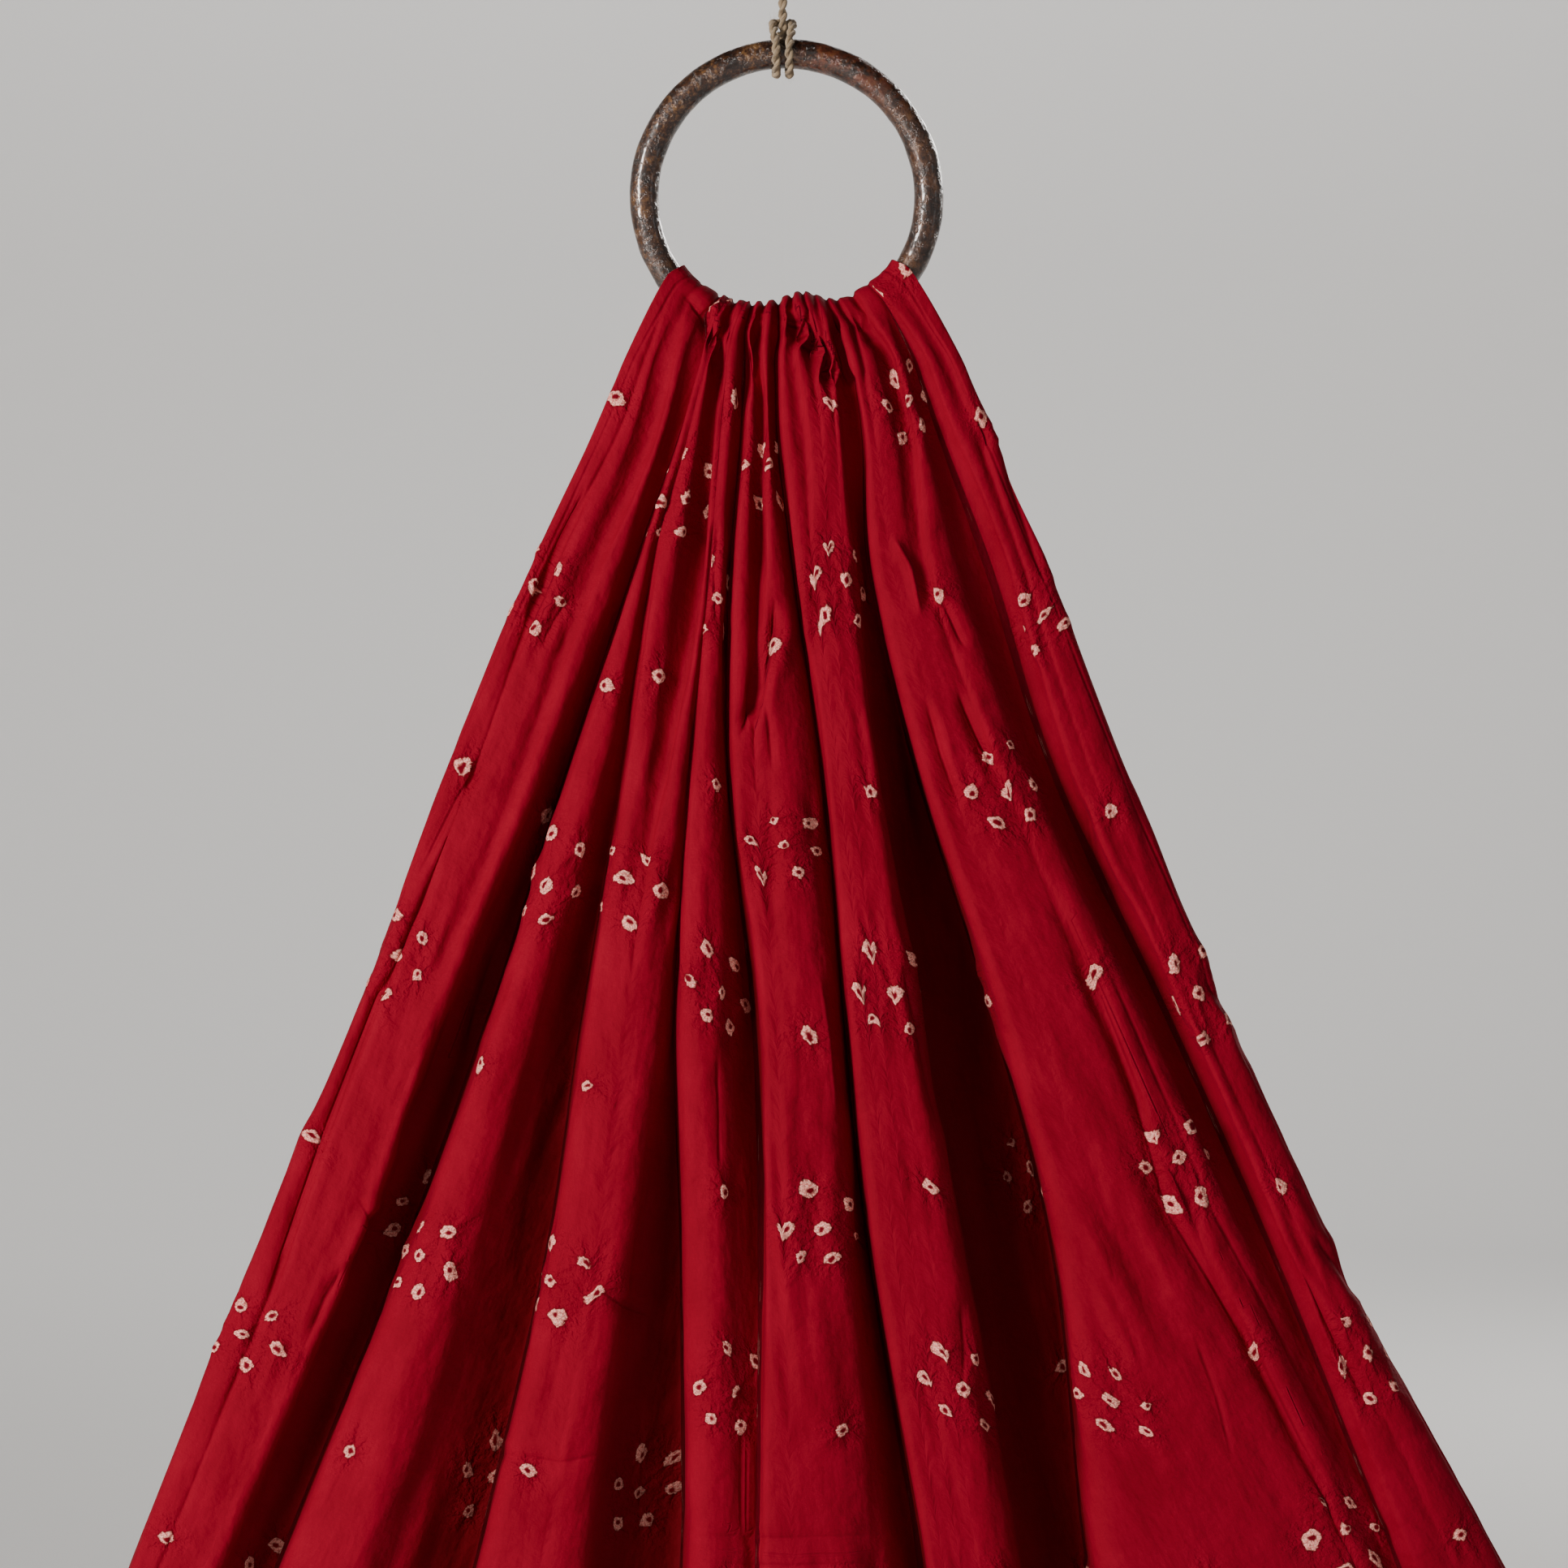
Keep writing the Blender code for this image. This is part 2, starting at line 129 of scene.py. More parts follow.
def newPiece(name, points, faces):
    # points are in millimetres
    mesh = bpy.data.meshes.new(name)
    places = np.asarray(points, float).reshape(-1, 3) * mm
    mesh.from_pydata(places.tolist(), [], [tuple(face) for face in faces])
    mesh.shade_smooth()
    piece = bpy.data.objects.new(name, mesh)
    bpy.context.scene.collection.objects.link(piece)
    return piece


def hermite(start, end, startSlope, endSlope, share):
    rest = 1 - share
    return (start * (1 + 2 * share) * rest ** 2 + end * share ** 2 * (3 - 2 * share)
            + startSlope * share * rest ** 2 - endSlope * share ** 2 * rest)


def refine(points, counts):
    # A smooth curve through the points along the first axis, with counts steps between each two
    step = points[1:] - points[:-1]
    span = np.maximum(np.linalg.norm(step, axis=-1, keepdims=True), 1e-6) ** 0.5
    slope = step / span
    tangent = np.concatenate([
        slope[:1],
        (slope[:-1] * span[1:] + slope[1:] * span[:-1]) / (span[1:] + span[:-1]),
        slope[-1:]])
    pieces = []
    for index, count in enumerate(counts):
        for share in np.arange(count) / count:
            pieces.append(hermite(points[index], points[index + 1], tangent[index] * span[index],
                                  tangent[index + 1] * span[index], share))
    pieces.append(points[-1])
    return np.stack(pieces)


def tableCurve(places, values, at):
    # Smooth values read off a table, straight beyond its ends
    places = np.asarray(places, float)
    values = np.asarray(values, float)
    at = np.asarray(at, float)
    index = np.clip(np.searchsorted(places, at, side="right") - 1, 0, len(places) - 2)
    width = places[index + 1] - places[index]
    step = (values[index + 1] - values[index]) / width
    inner = (values[2:] - values[:-2]) / (places[2:] - places[:-2])
    firstStep = (values[1] - values[0]) / (places[1] - places[0])
    lastStep = (values[-1] - values[-2]) / (places[-1] - places[-2])
    slopes = np.concatenate([[firstStep], inner, [lastStep]])
    share = (at - places[index]) / width
    inside = hermite(values[index], values[index + 1], slopes[index] * width, slopes[index + 1] * width,
                     share)
    beyond = values[-1] + lastStep * (at - places[-1])
    return np.where(at >= places[-1], beyond, inside)


def heldCurve(places, values, at):
    # The same, held at its end values and never below 0
    return np.maximum(tableCurve(places, values, np.clip(at, places[0], places[-1])), 0.0)


# The camera stands where the photograph was taken from
cameraSettings = {
    "distance": 2.0, "height": -0.259, "right": 0.0004, "sensor": 36.0,
    "pixelsPerMetre": 3880.0, "pixels": 1932.0,
}


def addCamera(settings):
    data = bpy.data.cameras.new("camera")
    data.sensor_width = settings["sensor"]
    data.lens = data.sensor_width * settings["distance"] * settings["pixelsPerMetre"] / settings["pixels"]
    camera = bpy.data.objects.new("camera", data)
    camera.location = (settings["right"], -settings["distance"], settings["height"])
    camera.rotation_euler = (math.pi / 2, 0.0, 0.0)
    bpy.context.scene.collection.objects.link(camera)
    bpy.context.scene.camera = camera


addCamera(cameraSettings)
print("stage: camera")


# The twine: two plies laid together, in a lark's head round the top of the ring
twineSettings = {
    "length": 0.122, "diameter": 0.0027,
    "ringTopZ": -27.2, "wrap": 6.45, "strandEndZ": -7.8,
    "plyRadius": 0.82, "plyOffset": 0.66, "turnLength": 7.5, "sides": 10, "step": 0.32,
    "hairs": 150, "hairLength": (1.0, 4.2), "hairRadius": 0.035,
    "light": (0.42, 0.31, 0.19, 1.0), "dark": (0.135, 0.085, 0.046, 1.0),
}
knotSettings = {"plyRadius": 0.68, "plyOffset": 0.52, "turnLength": 5.5, "sides": 10, "step": 0.3}
plySwell = ((0.07, 1.7, 3), (0.05, 3.9, 1))  # height, how often, and how far the second ply's is shifted
knotRoute = ((0, -1.6, -7.6), (-0.5, -1.9, -6.3), (-2.4, -1.8, -5.0), (-3.3, 0.0, -3.4), (-2.0, 2.1, -1.9),
             (0.8, 2.5, -1.4), (3.0, 1.0, -2.4), (3.0, -1.4, -3.9), (0.9, -2.5, -3.6), (-1.3, -1.9, -1.9),
             (-0.9, 0.0, -1.3), (1.3, -0.9, -1.4), (2.9, -0.4, -5.0), (1.6, 1.5, -5.9), (-0.4, 2.3, -4.4),
             (-2.9, 0.9, -5.4), (-0.9, 1.5, -6.5), (0, 1.6, -7.6))


def twineRoute(settings):
    def aboutRing(x, degrees):
        turned, wrap = math.radians(degrees), settings["wrap"]
        return (x, -math.sin(turned) * wrap, settings["ringTopZ"] + math.cos(turned) * wrap)

    end = settings["strandEndZ"]
    route = [(0.0, -1.6, end), (0.0, -1.6, -12.0), (0.0, -1.5, -16.0), (0.0, -0.9, -19.4),
             (-0.9, 1.5, -21.0), (-1.8, 4.4, -22.6)]
    route += [aboutRing(-2.1, degrees) for degrees in (-80, -120, -155, 170, 135, 100, 66)]
    route += [(-2.7, -4.3, -21.3), (-3.0, -2.0, -18.9), (-3.0, 1.0, -17.5), (-2.7, 3.6, -17.0),
              (0.0, 5.2, -16.9),
              (2.7, 3.6, -17.0), (3.0, 1.0, -17.5), (3.0, -2.0, -18.9), (2.7, -4.3, -21.3)]
    route += [aboutRing(2.1, degrees) for degrees in (66, 100, 135, 170, -155, -120, -88)]
    route += [(1.9, 5.7, -23.8), (1.1, 4.0, -20.5), (0.3, 2.2, -17.9), (0.0, 1.6, -14.5),
              (0.0, 1.6, -11.0), (0.0, 1.6, end)]
    return np.array(route)


def evenPath(route, step):
    fine = refine(route, [24] * (len(route) - 1))
    along = np.concatenate([[0.0], np.cumsum(np.linalg.norm(np.diff(fine, axis=0), axis=1))])
    count = int(round(along[-1] / step)) + 1
    places = np.linspace(0.0, along[-1], count)
    return np.stack([np.interp(places, along, fine[:, axis]) for axis in range(3)], axis=1), places


def framesAlong(path):
    # Two directions square to the path, carried along it without twisting
    ahead = np.gradient(path, axis=0)
    ahead /= np.linalg.norm(ahead, axis=1, keepdims=True)
    side = np.cross(ahead[0], (0.3, 1.0, 0.2))
    sides = []
    for direction in ahead:
        side = side - direction * side.dot(direction)
        side /= np.linalg.norm(side)
        sides.append(side)
    sides = np.array(sides)
    return ahead, sides, np.cross(ahead, sides)


def laidStrand(path, places, settings):
    # Points, faces and (round, along) coordinates of the two plies with closed ends
    ahead, first, second = framesAlong(path)
    sides = settings["sides"]
    points, faces, coordinates = [], [], []
    for ply in (0.0, math.pi):
        turn = 2 * math.pi * places / settings["turnLength"] + ply
        swell = 1 + sum(height * np.sin(places * often + shift * ply) for height, often, shift in plySwell)
        outward = np.cos(turn)[:, None] * first + np.sin(turn)[:, None] * second
        centre = path + settings["plyOffset"] * outward
        base = len(points)
        for index in range(len(path)):
            around = 2 * math.pi * np.arange(sides) / sides + turn[index]
            ring = centre[index] + settings["plyRadius"] * swell[index] * (
                np.cos(around)[:, None] * first[index] + np.sin(around)[:, None] * second[index])
            points += ring.tolist()
            coordinates += [(corner / sides, places[index] * mm) for corner in range(sides)]
        for index in range(len(path) - 1):
            for corner in range(sides):
                after = (corner + 1) % sides
                low = base + index * sides
                faces.append((low + corner, low + after, low + sides + after, low + sides + corner))
        faces.append(tuple(base + corner for corner in reversed(range(sides))))
        faces.append(tuple(base + (len(path) - 1) * sides + corner for corner in range(sides)))
    return points, faces, coordinates


def strandMaterial(settings):
    made, tree, shader = newMaterial("laidJute", {"Roughness": 0.9, "Sheen Weight": 0.25,
                                                  "Sheen Roughness": 0.6, "Specular IOR Level": 0.25})
    lay = addNode(tree, "ShaderNodeAttribute", {}, attribute_name="lay").outputs["Vector"]
    fibres = noise(tree, stretched(tree, lay, (14.0, 420.0, 1.0)), 1.0, 4.0, 0.65)
    patches = noise(tree, addNode(tree, "ShaderNodeTexCoord", {}).outputs["Object"], 420.0, 2.0)
    share = scaled(tree, fibres, 0.8, times(tree, patches, 0.45))
    colour = mixColours(tree, soften(tree, share, 0.42, 0.82), settings["dark"], settings["light"])
    tree.links.new(colour, shader.inputs["Base Color"])
    tree.links.new(bump(tree, fibres, 0.8, 0.0004), shader.inputs["Normal"])
    return made


def addStrand(name, node, route, settings, finish):
    path, places = evenPath(np.array(route, float), settings["step"])
    points, faces, coordinates = laidStrand(path, places, settings)
    strand = newPiece(name, points, faces)
    lay = strand.data.attributes.new("lay", "FLOAT_VECTOR", "POINT")
    lay.data.foreach_set("vector", np.array([(around, along, 0.0) for around, along in coordinates]).ravel())
    strand.data.materials.append(finish)
    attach(strand, "root")
    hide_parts(node)
    return strand, path, places


def addTwine(settings, knot):
    finish = strandMaterial(settings)
    twine, path, places = addStrand("juteTwine", "twine", twineRoute(settings), settings, finish)
    twineKnot = addStrand("juteKnot", "twine_knot", knotRoute, knot, finish)[0]
    hairs = addHairs(path, places, settings, finish)


def addHairs(path, places, settings, finish):
    # Loose fibres that stand off the twine, each a thin curved three-sided thread
    ahead, first, second = framesAlong(path)
    points, faces = [], []
    for _ in range(settings["hairs"]):
        index = int(chance.integers(2, len(path) - 2))
        turn = chance.uniform(0, 2 * math.pi)
        outward = math.cos(turn) * first[index] + math.sin(turn) * second[index]
        length = chance.uniform(*settings["hairLength"])
        lean = ahead[index] * chance.choice((-1, 1)) * chance.uniform(0.3, 1.1)
        curl = np.cross(outward, ahead[index]) * chance.uniform(-0.9, 0.9)
        root = path[index] + outward * 1.1
        base = len(points)
        shares = np.linspace(0, 1, 5)
        for share in shares:
            centre = root + length * (share * (outward * 0.7 + lean) / 1.2 + share ** 2 * curl * 0.5)
            size = settings["hairRadius"] * (1.0 - 0.6 * share)
            for corner in range(3):
                around = 2 * math.pi * corner / 3
                aside = math.cos(around) * first[index] + math.sin(around) * second[index]
                points.append(centre + size * aside)
        for step in range(len(shares) - 1):
            for corner in range(3):
                low, after = base + 3 * step, (corner + 1) % 3
                faces.append((low + corner, low + after, low + 3 + after, low + 3 + corner))
    hairs = newPiece("twineHairs", np.array(points), faces)
    hairs.data.materials.append(finish)
    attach(hairs, "root")
    return hairs


addTwine(twineSettings, knotSettings)
print("stage: twine")


# The ring: cast brass gone brown with age, worn a little thinner in places
ringSettings = {
    "centre": (1.2, 0.0, -72.4), "radius": 45.2, "tube": 4.7, "steps": 200, "sides": 40,
    "worn": ((38.0, 0.965), (118.0, 0.975), (196.0, 0.97)), "wornReach": 16.0,
    "lumps": ((0.011, 0.0005), (0.0035, 0.0002)),
    "darkBrown": (0.011, 0.0045, 0.003, 1.0), "brown": (0.075, 0.028, 0.013, 1.0),
    "golden": (0.34, 0.18, 0.07, 1.0), "reddish": (0.13, 0.026, 0.013, 1.0),
}


def addRing(settings):
    bpy.ops.object.select_all(action="DESELECT")
    bpy.ops.mesh.primitive_torus_add(location=(0.0, 0.0, 0.0), rotation=(math.pi / 2, 0.0, 0.0),
                                     major_segments=settings["steps"], minor_segments=settings["sides"],
                                     major_radius=settings["radius"] * mm, minor_radius=settings["tube"] * mm)
    ring = bpy.context.object
    ring.name = "agedRing"
    bpy.ops.object.transform_apply(location=False, rotation=True, scale=False)
    for degrees, share in settings["worn"]:
        middle = Vector((math.cos(math.radians(degrees)), 0.0, math.sin(math.radians(degrees))))
        middle *= settings["radius"] * mm
        bpy.ops.object.mode_set(mode="EDIT")
        bpy.ops.mesh.select_all(action="DESELECT")
        bpy.ops.object.mode_set(mode="OBJECT")
        for vertex in ring.data.vertices:
            vertex.select = (vertex.co - middle).length < settings["tube"] * 1.6 * mm
        bpy.ops.object.mode_set(mode="EDIT")
        bpy.ops.transform.resize(value=(share, share, share), center_override=middle,
                                 use_proportional_edit=True, proportional_edit_falloff="SMOOTH",
                                 proportional_size=settings["wornReach"] * mm)
        bpy.ops.object.mode_set(mode="OBJECT")
    for size, height in settings["lumps"]:
        lumps = bpy.data.textures.new("castLumps", "CLOUDS")
        lumps.noise_scale = size
        uneven = ring.modifiers.new("uneven", "DISPLACE")
        uneven.texture = lumps
        uneven.strength = height
        uneven.mid_level = 0.5
        bpy.ops.object.modifier_apply(modifier=uneven.name)
        bpy.data.textures.remove(lumps)
    bpy.ops.object.shade_smooth()
    ring.location = Vector(settings["centre"]) * mm
    bpy.ops.object.transform_apply(location=True, rotation=False, scale=False)
    ring.data.materials.append(ringMaterial(settings))
    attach(ring, "root")
    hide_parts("ring")


def ringMaterial(settings):
    made, tree, shader = newMaterial("agedBrass", {"Metallic": 0.30, "Coat Weight": 1.0,
                                                   "Coat Roughness": 0.07, "Coat IOR": 1.5})
    where = addNode(tree, "ShaderNodeTexCoord", {}).outputs["Object"]
    place = addNode(tree, "ShaderNodeSeparateXYZ", {0: where}).outputs
    patches = noise(tree, where, 150.0, 5.0, 0.72)
    speckle = noise(tree, where, 1000.0, 3.0, 0.75)
    both = scaled(tree, patches, 0.55, times(tree, speckle, 0.45))
    upLeft = soften(tree, minus(tree, place[2], place[0]), -0.075, 0.02)
    nearTop = times(tree, soften(tree, place[2], -0.05, -0.03), soften(tree, place[0], 0.0, 0.012))
    colour = mixColours(tree, soften(tree, both, 0.40, 0.58), settings["darkBrown"], settings["brown"])
    colour = mixColours(tree, times(tree, nearTop, soften(tree, patches, 0.42, 0.62)), colour,
                        settings["reddish"])
    gold = times(tree, soften(tree, both, 0.50, 0.66), scaled(tree, upLeft, 0.8, 0.2))
    tree.links.new(mixColours(tree, gold, colour, settings["golden"]), shader.inputs["Base Color"])
    tree.links.new(soften(tree, both, 0.35, 0.65, 0.5, 0.24), shader.inputs["Roughness"])
    # Pits and dents in the metal, and a smoother glaze over them
    pits = noise(tree, where, 520.0, 4.0, 0.65)
    dents = noise(tree, where, 170.0, 3.0, 0.6)
    height = scaled(tree, soften(tree, pits, 0.30, 0.52), 0.35, dents)
    tree.links.new(bump(tree, height, 0.55, 0.0006), shader.inputs["Normal"])
    glaze = scaled(tree, soften(tree, pits, 0.34, 0.50), 0.45, noise(tree, where, 110.0, 3.0, 0.55))
    tree.links.new(bump(tree, glaze, 0.62, 0.0007), shader.inputs["Coat Normal"])
    return made


addRing(ringSettings)
print("stage: ring")


# The cloth: its folds come from the same tables as its solid
clothSettings = {
    "flat": (0.62, 0.95), "frontLength": 470.0, "backLength": 462.0, "backWidthShare": 0.97,
    "ringX": 1.2, "ringZ": -72.4, "ringRadius": 45.2, "ringStandoff": 5.85,
    "edgeFalloff": 0.45, "crestPull": 0.30, "crestPullReach": 0.9,
    "smallestMouth": 0.9, "smallestMouthShare": 0.16, "slitMouth": 2.4, "slitMouthShare": 0.45,
    "mouthsShareOfTube": 0.62, "leaningHalf": 1.1, "ringMouthShare": 1.1, "ringSmallestMouth": 1.8,
    "backFoldTubes": 1.5, "backSpreadDrop": 50.0,
    "neckLevels": (124.0, 150.0, 191.0, 255.0, 331.0), "neckDepth": (0.48, 0.5, 0.58, 0.8, 1.0),
    "neckMouth": (1.8, 1.7, 1.5, 1.2, 1.0), "ringDepth": 2.0, "ringLeast": 0.5,
    "stations": 110, "measuredRow": 8, "columnStep": 2.15, "frontRowStep": 2.05, "backRowStep": 6.5,
    "hemRows": 4, "backHemRows": 1, "hemColumns": 2, "hemBehind": 0.45, "hemRoll": (1.1, 0.6, 0.15),
    "hemSeam": 7.0, "sideSeam": 4.2,
    # Small wrinkles: height, width and length, how they start below the ring, and how uneven they are
    "wrinkles": ((0.27, 17.0, 150.0), (0.14, 7.5, 60.0), (0.06, 5.0, 26.0)),
    "wrinkleStart": (20.0, 110.0, 0.1),
    "rumpleShare": (0.6, 0.4), "rumpleWaves": (60.0, 160.0), "rumpleByDots": (1.3, 8.0),
    "rumpleLimits": (0.15, 2.2),
    "creaseDepth": 2.0, "creaseWidth": 1.3, "creaseFade": 5, "creaseLip": (0.55, 1.7), "creaseStart": 12.0,
    "lineReach": 4.0,
    # Painted shade: how deep in a fold the cloth's colour turns darker, and how much
    "shadeReach": 26.0, "shadeSlope": 0.35, "shadeFrom": 1.5, "shadeDepth": 12.0, "shadeStart": (20.0, 150.0),
    "foldShade": 0.68,
    "red": (0.240, 0.0034, 0.0155, 1.0), "deepRed": (0.190, 0.0024, 0.0112, 1.0),
    # Next: the dark red of the painted shade deep in the folds, then the painted shadow of the rim round each
    # dot
    "paintedShadeRed": (0.046, 0.0004, 0.0, 1.0), "rimShadowRed": (0.09, 0.001, 0.004, 1.0),
    "cream": (0.98, 0.52, 0.42, 1.0), "pinkish": (0.84, 0.21, 0.185, 1.0),
}
levels = (124.0, 150.0, 191.0, 255.0, 331.0, 407.0, 495.0)
crestReach = (16.5, 18.0, 21.0, 27.0, 33.0, 37.0, 38.5)
backBase = (6.8, 7.0, 7.5, 7.5, 7.5, 7.5, 7.5)
backFoldHeight = (4.0, 8.5, 15.5, 18.5, 18.0, 17.0, 16.0)
# Share of a tube's width, drop from its crest as a share of the valley's depth, and the valley that counts
tubeProfile = ((0.0, 0.5, "left"), (0.12, 0.1, "left"), (0.42, 0.0, "left"), (0.76, 0.12, "right"),
               (1.0, 0.5, "right"))
# Name, degrees on the ring, rise off it and depth there, then at each level the place across, the depth and
# the width of the mouth, and last how far the fold leans
foldLines = (
    ("leftEdge", 214.0, 0.3, 0.0, (-51, -62, -81, -108, -136, -168, -203),
     (2, 2.5, 3, 4, 5, 6, 6), (0, 0, 0, 0, 0, 0, 0), 0.0),
    ("leftSelvedge", 218.5, 0.6, 0.2, (-44.5, -54, -75, -98.5, -129, -157.5, -193),
     (1.5, 1.5, 1.5, 1.2, 1.8, 1.2, 0.5), (1, 1, 1, 1.2, 1.5, 1.2, 1), 0.3),
    ("leftRecess", 226.0, 1.6, 0.5, (-38, -44, -62, -84, -114.5, -142, -182),
     (4, 6, 4, 2, 0.6, 0.3, 0.3), (3.5, 5, 4, 4, 5, 6, 6), 0.0),
    ("leftValley", 236.0, 2.4, 1.3, (-28.4, -36.6, -49.5, -71.8, -99, -127, -163),
     (7, 9, 12, 14, 15, 14.5, 13.5), (4, 4, 3, 5.4, 12.4, 14, 15.5), 1.1),
    ("leftSecond", 240.0, 2.6, 0.2, (-25, -31.4, -42.4, -53, -69, -84, -106),
     (0.3, 1, 5, 10, 14, 16.5, 17), (1, 1, 1.6, 4, 11, 18, 22), 1.1),
    ("neckValley", 244.0, 3.4, 1.4, (-21.6, -24.6, -28.4, -39, -50.5, -61, -77),
     (8, 10, 12.5, 3.5, 0, 0, 0), (2.4, 3, 6.2, 4, 0, 0, 0), 1.0),
    ("middleDark", 248.5, 4.2, 0.2, (-18.5, -21, -24, -30.5, -35.8, -39.3, -44.6),
     (0.3, 0.3, 0.5, 4, 9, 15.5, 19), (0.8, 0.8, 1, 1.5, 3, 14, 26), 1.1),
    ("middleLeft", 252.5, 5.2, 1.6, (-13.6, -14.9, -17.9, -18.6, -12.6, -10.6, -11),
     (9, 10, 10.5, 9, 12, 8.5, 4), (1.8, 2, 1.8, 2, 8, 8, 7), 1.0),
    ("neckSlit", 258.5, 6.2, 1.8, (-8.5, -7.9, -9, -9.9, -3.5, -1, 1.5),
     (7, 7.5, 8.5, 0.5, 0, 0, 0), (1.6, 2, 2.4, 0.5, 0, 0, 0), 0.8),
    ("middleRight", 265.5, 8.0, 2.2, (-4, -3.2, 1.8, 11, 17.9, 25, 37.4),
     (9, 10, 11, 10, 10, 13, 14), (1.8, 1.8, 1.6, 1.7, 1.8, 4.4, 10), 1.1),
    ("shortHollow", 273.0, 9.0, 1.6, (1.5, 5, 8.2, 16, 24.5, 34, 47.5),
     (2.5, 3, 0.4, 0, 0, 0, 0), (1.6, 2.2, 0.6, 0, 0, 0, 0), 0.3),
    ("slantingPleat", 279.5, 8.4, 1.2, (7.5, 11, 13.5, 20, 29, 39, 53),
     (3, 0.4, 0, 0, 0, 0, 0), (1.5, 0.6, 0, 0, 0, 0, 0), 0.5),
    ("slantingSecond", 285.5, 6.2, 0.6, (12.4, 15.6, 18, 24.5, 34.5, 45, 58.5),
     (3, 0.5, 0, 0, 0, 0, 0), (2, 0.6, 0, 0, 0, 0, 0), 0.5),
    ("wideDark", 291.0, 4.2, 1.0, (17.8, 21, 24.6, 36, 54.8, 71.5, 84),
     (11, 13, 16.5, 22, 24.5, 24.5, 21), (4, 4.6, 3, 9.6, 21, 26.5, 20), 1.1),
    ("neckNotch", 296.0, 2.6, 0.9, (23.3, 28, 33.5, 50, 76, 99, 122),
     (1.5, 0.3, 0, 0, 0, 0, 0), (1.2, 0.6, 0, 0, 0, 0, 0), 0.5),
    ("rightCrease", 303.5, 2.2, 1.2, (31.5, 37.8, 43.7, 66.8, 98.6, 131.7, 173.7),
     (8, 6, 2.5, 1, 1.2, 1.2, 1), (3, 3, 2, 1.5, 1.2, 1.2, 1), 0.7),
    ("rightValley", 312.5, 1.4, 0.6, (40, 49, 63.7, 84, 119.5, 153, 188.4),
     (8, 10.5, 12, 11, 9.5, 7, 4.5), (4, 5, 9.5, 9, 11, 10, 8), 0.3),
    ("rightSelvedge", 320.5, 0.4, 0.1, (49.7, 60.5, 74.9, 95.9, 129.5, 164.6, 205.3),
     (2.5, 2, 0.8, 0.4, 0.3, 0.3, 0.3), (2, 1.6, 1, 1, 1, 1, 1), 0.0),
    ("rightEdge", 329.0, 0.0, 0.0, (55.3, 66.2, 82.9, 107.6, 139, 174, 220.5),
     (2, 2.5, 3, 4, 5, 6, 6), (0, 0, 0, 0, 0, 0, 0), 0.0),
)
tubeColumns = 6
tubes = len(foldLines) - 1
leans = np.array([line[7] for line in foldLines])
# The control rows: shares of the way from the ring to the hem at the front, degrees round the ring's tube,
# and shares of the way to the hem at the back
frontShares = (1.0, *np.arange(0.96, 0.3, -0.04), 0.27, 0.22, 0.175, 0.135, 0.1, 0.07, 0.045, 0.02, 0.0)
tubeDegrees = (90.0, 60.0, 30.0, 0.0, -30.0, -60.0, -90.0)
backShares = (0.05, 0.12, 0.22, 0.33, 0.45, 0.58, 0.72, 0.86, 1.0)


def acrossSection(places, depths, mouths, crestOf, settings):
    # The control points of one level: a valley's bottom, its wall, a shoulder, the crest and so on
    widths = np.diff(places)
    beside = np.minimum(np.concatenate([widths[:1], widths]), np.concatenate([widths, widths[-1:]]))
    slit = np.minimum(depths * settings["slitMouthShare"], settings["slitMouth"])
    half = np.maximum.reduce([mouths, slit, np.full(len(places), settings["smallestMouth"]),
                              beside * settings["smallestMouthShare"]]) / 2
    half[[0, -1]] = 0.1
    bottom = places + leans * np.maximum(half - settings["leaningHalf"], 0.0)
    bottom[[0, -1]] = places[[0, -1]]
    low = crestOf(places) - depths
    narrowed = np.minimum(1.0, widths * settings["mouthsShareOfTube"] / (half[:-1] + half[1:]))
    start, end = places[:-1] + half[:-1] * narrowed, places[1:] - half[1:] * narrowed
    points = np.zeros((tubes, tubeColumns, 2))
    points[:, 0, 0], points[:, 0, 1] = bottom[:-1], low[:-1]
    for index, (share, drop, side) in enumerate(tubeProfile, 1):
        place = start + share * (end - start)
        foot = low[:-1] if side == "left" else low[1:]
        points[:, index, 0] = place
        points[:, index, 1] = foot + (crestOf(place) - foot) * (1 - drop)
    return np.concatenate([points.reshape(-1, 2), [[bottom[-1], low[-1]]]])


def frontSection(level, settings):
    places = np.array([float(tableCurve(levels, line[4], level)) for line in foldLines])
    depths = np.array([float(heldCurve(levels, line[5], level)) for line in foldLines])
    mouths = np.array([float(heldCurve(levels, line[6], level)) for line in foldLines])
    depths *= np.interp(level, settings["neckLevels"], settings["neckDepth"])
    mouths *= np.interp(level, settings["neckLevels"], settings["neckMouth"])
    reach = float(heldCurve(levels, crestReach, level))
    edge = max(-places[0], places[-1])

    def crestOf(place):
        height = reach * (1 - settings["edgeFalloff"] * (place / edge) ** 2)
        for where, depth in zip(places, depths):
            if depth > 0:
                spread = settings["crestPullReach"] * depth + 1
                height = height - settings["crestPull"] * depth * np.exp(-np.abs(place - where) / spread)
        return height

    return acrossSection(places, depths, mouths, crestOf, settings)


def ringSection(settings, deeper):
    # (degrees, height off the ring) of the gathers
    perDegree = math.radians(settings["ringRadius"])
    places = np.array([line[1] for line in foldLines]) * perDegree
    rises = np.array([line[2] for line in foldLines[:-1]])
    middles = (places[1:] + places[:-1]) / 2

    def crestOf(place):
        return heldCurve(middles, rises, place)

    room = np.maximum(crestOf(places) - settings["ringLeast"], 0.0)
    depths = np.minimum(deeper * np.array([line[3] for line in foldLines]), room)
    mouths = np.maximum(depths * settings["ringMouthShare"], settings["ringSmallestMouth"])
    section = acrossSection(places, depths, mouths, crestOf, settings)
    section[:, 0] /= perDegree
    section[:, 1] = np.maximum(section[:, 1], 0.0)
    return section


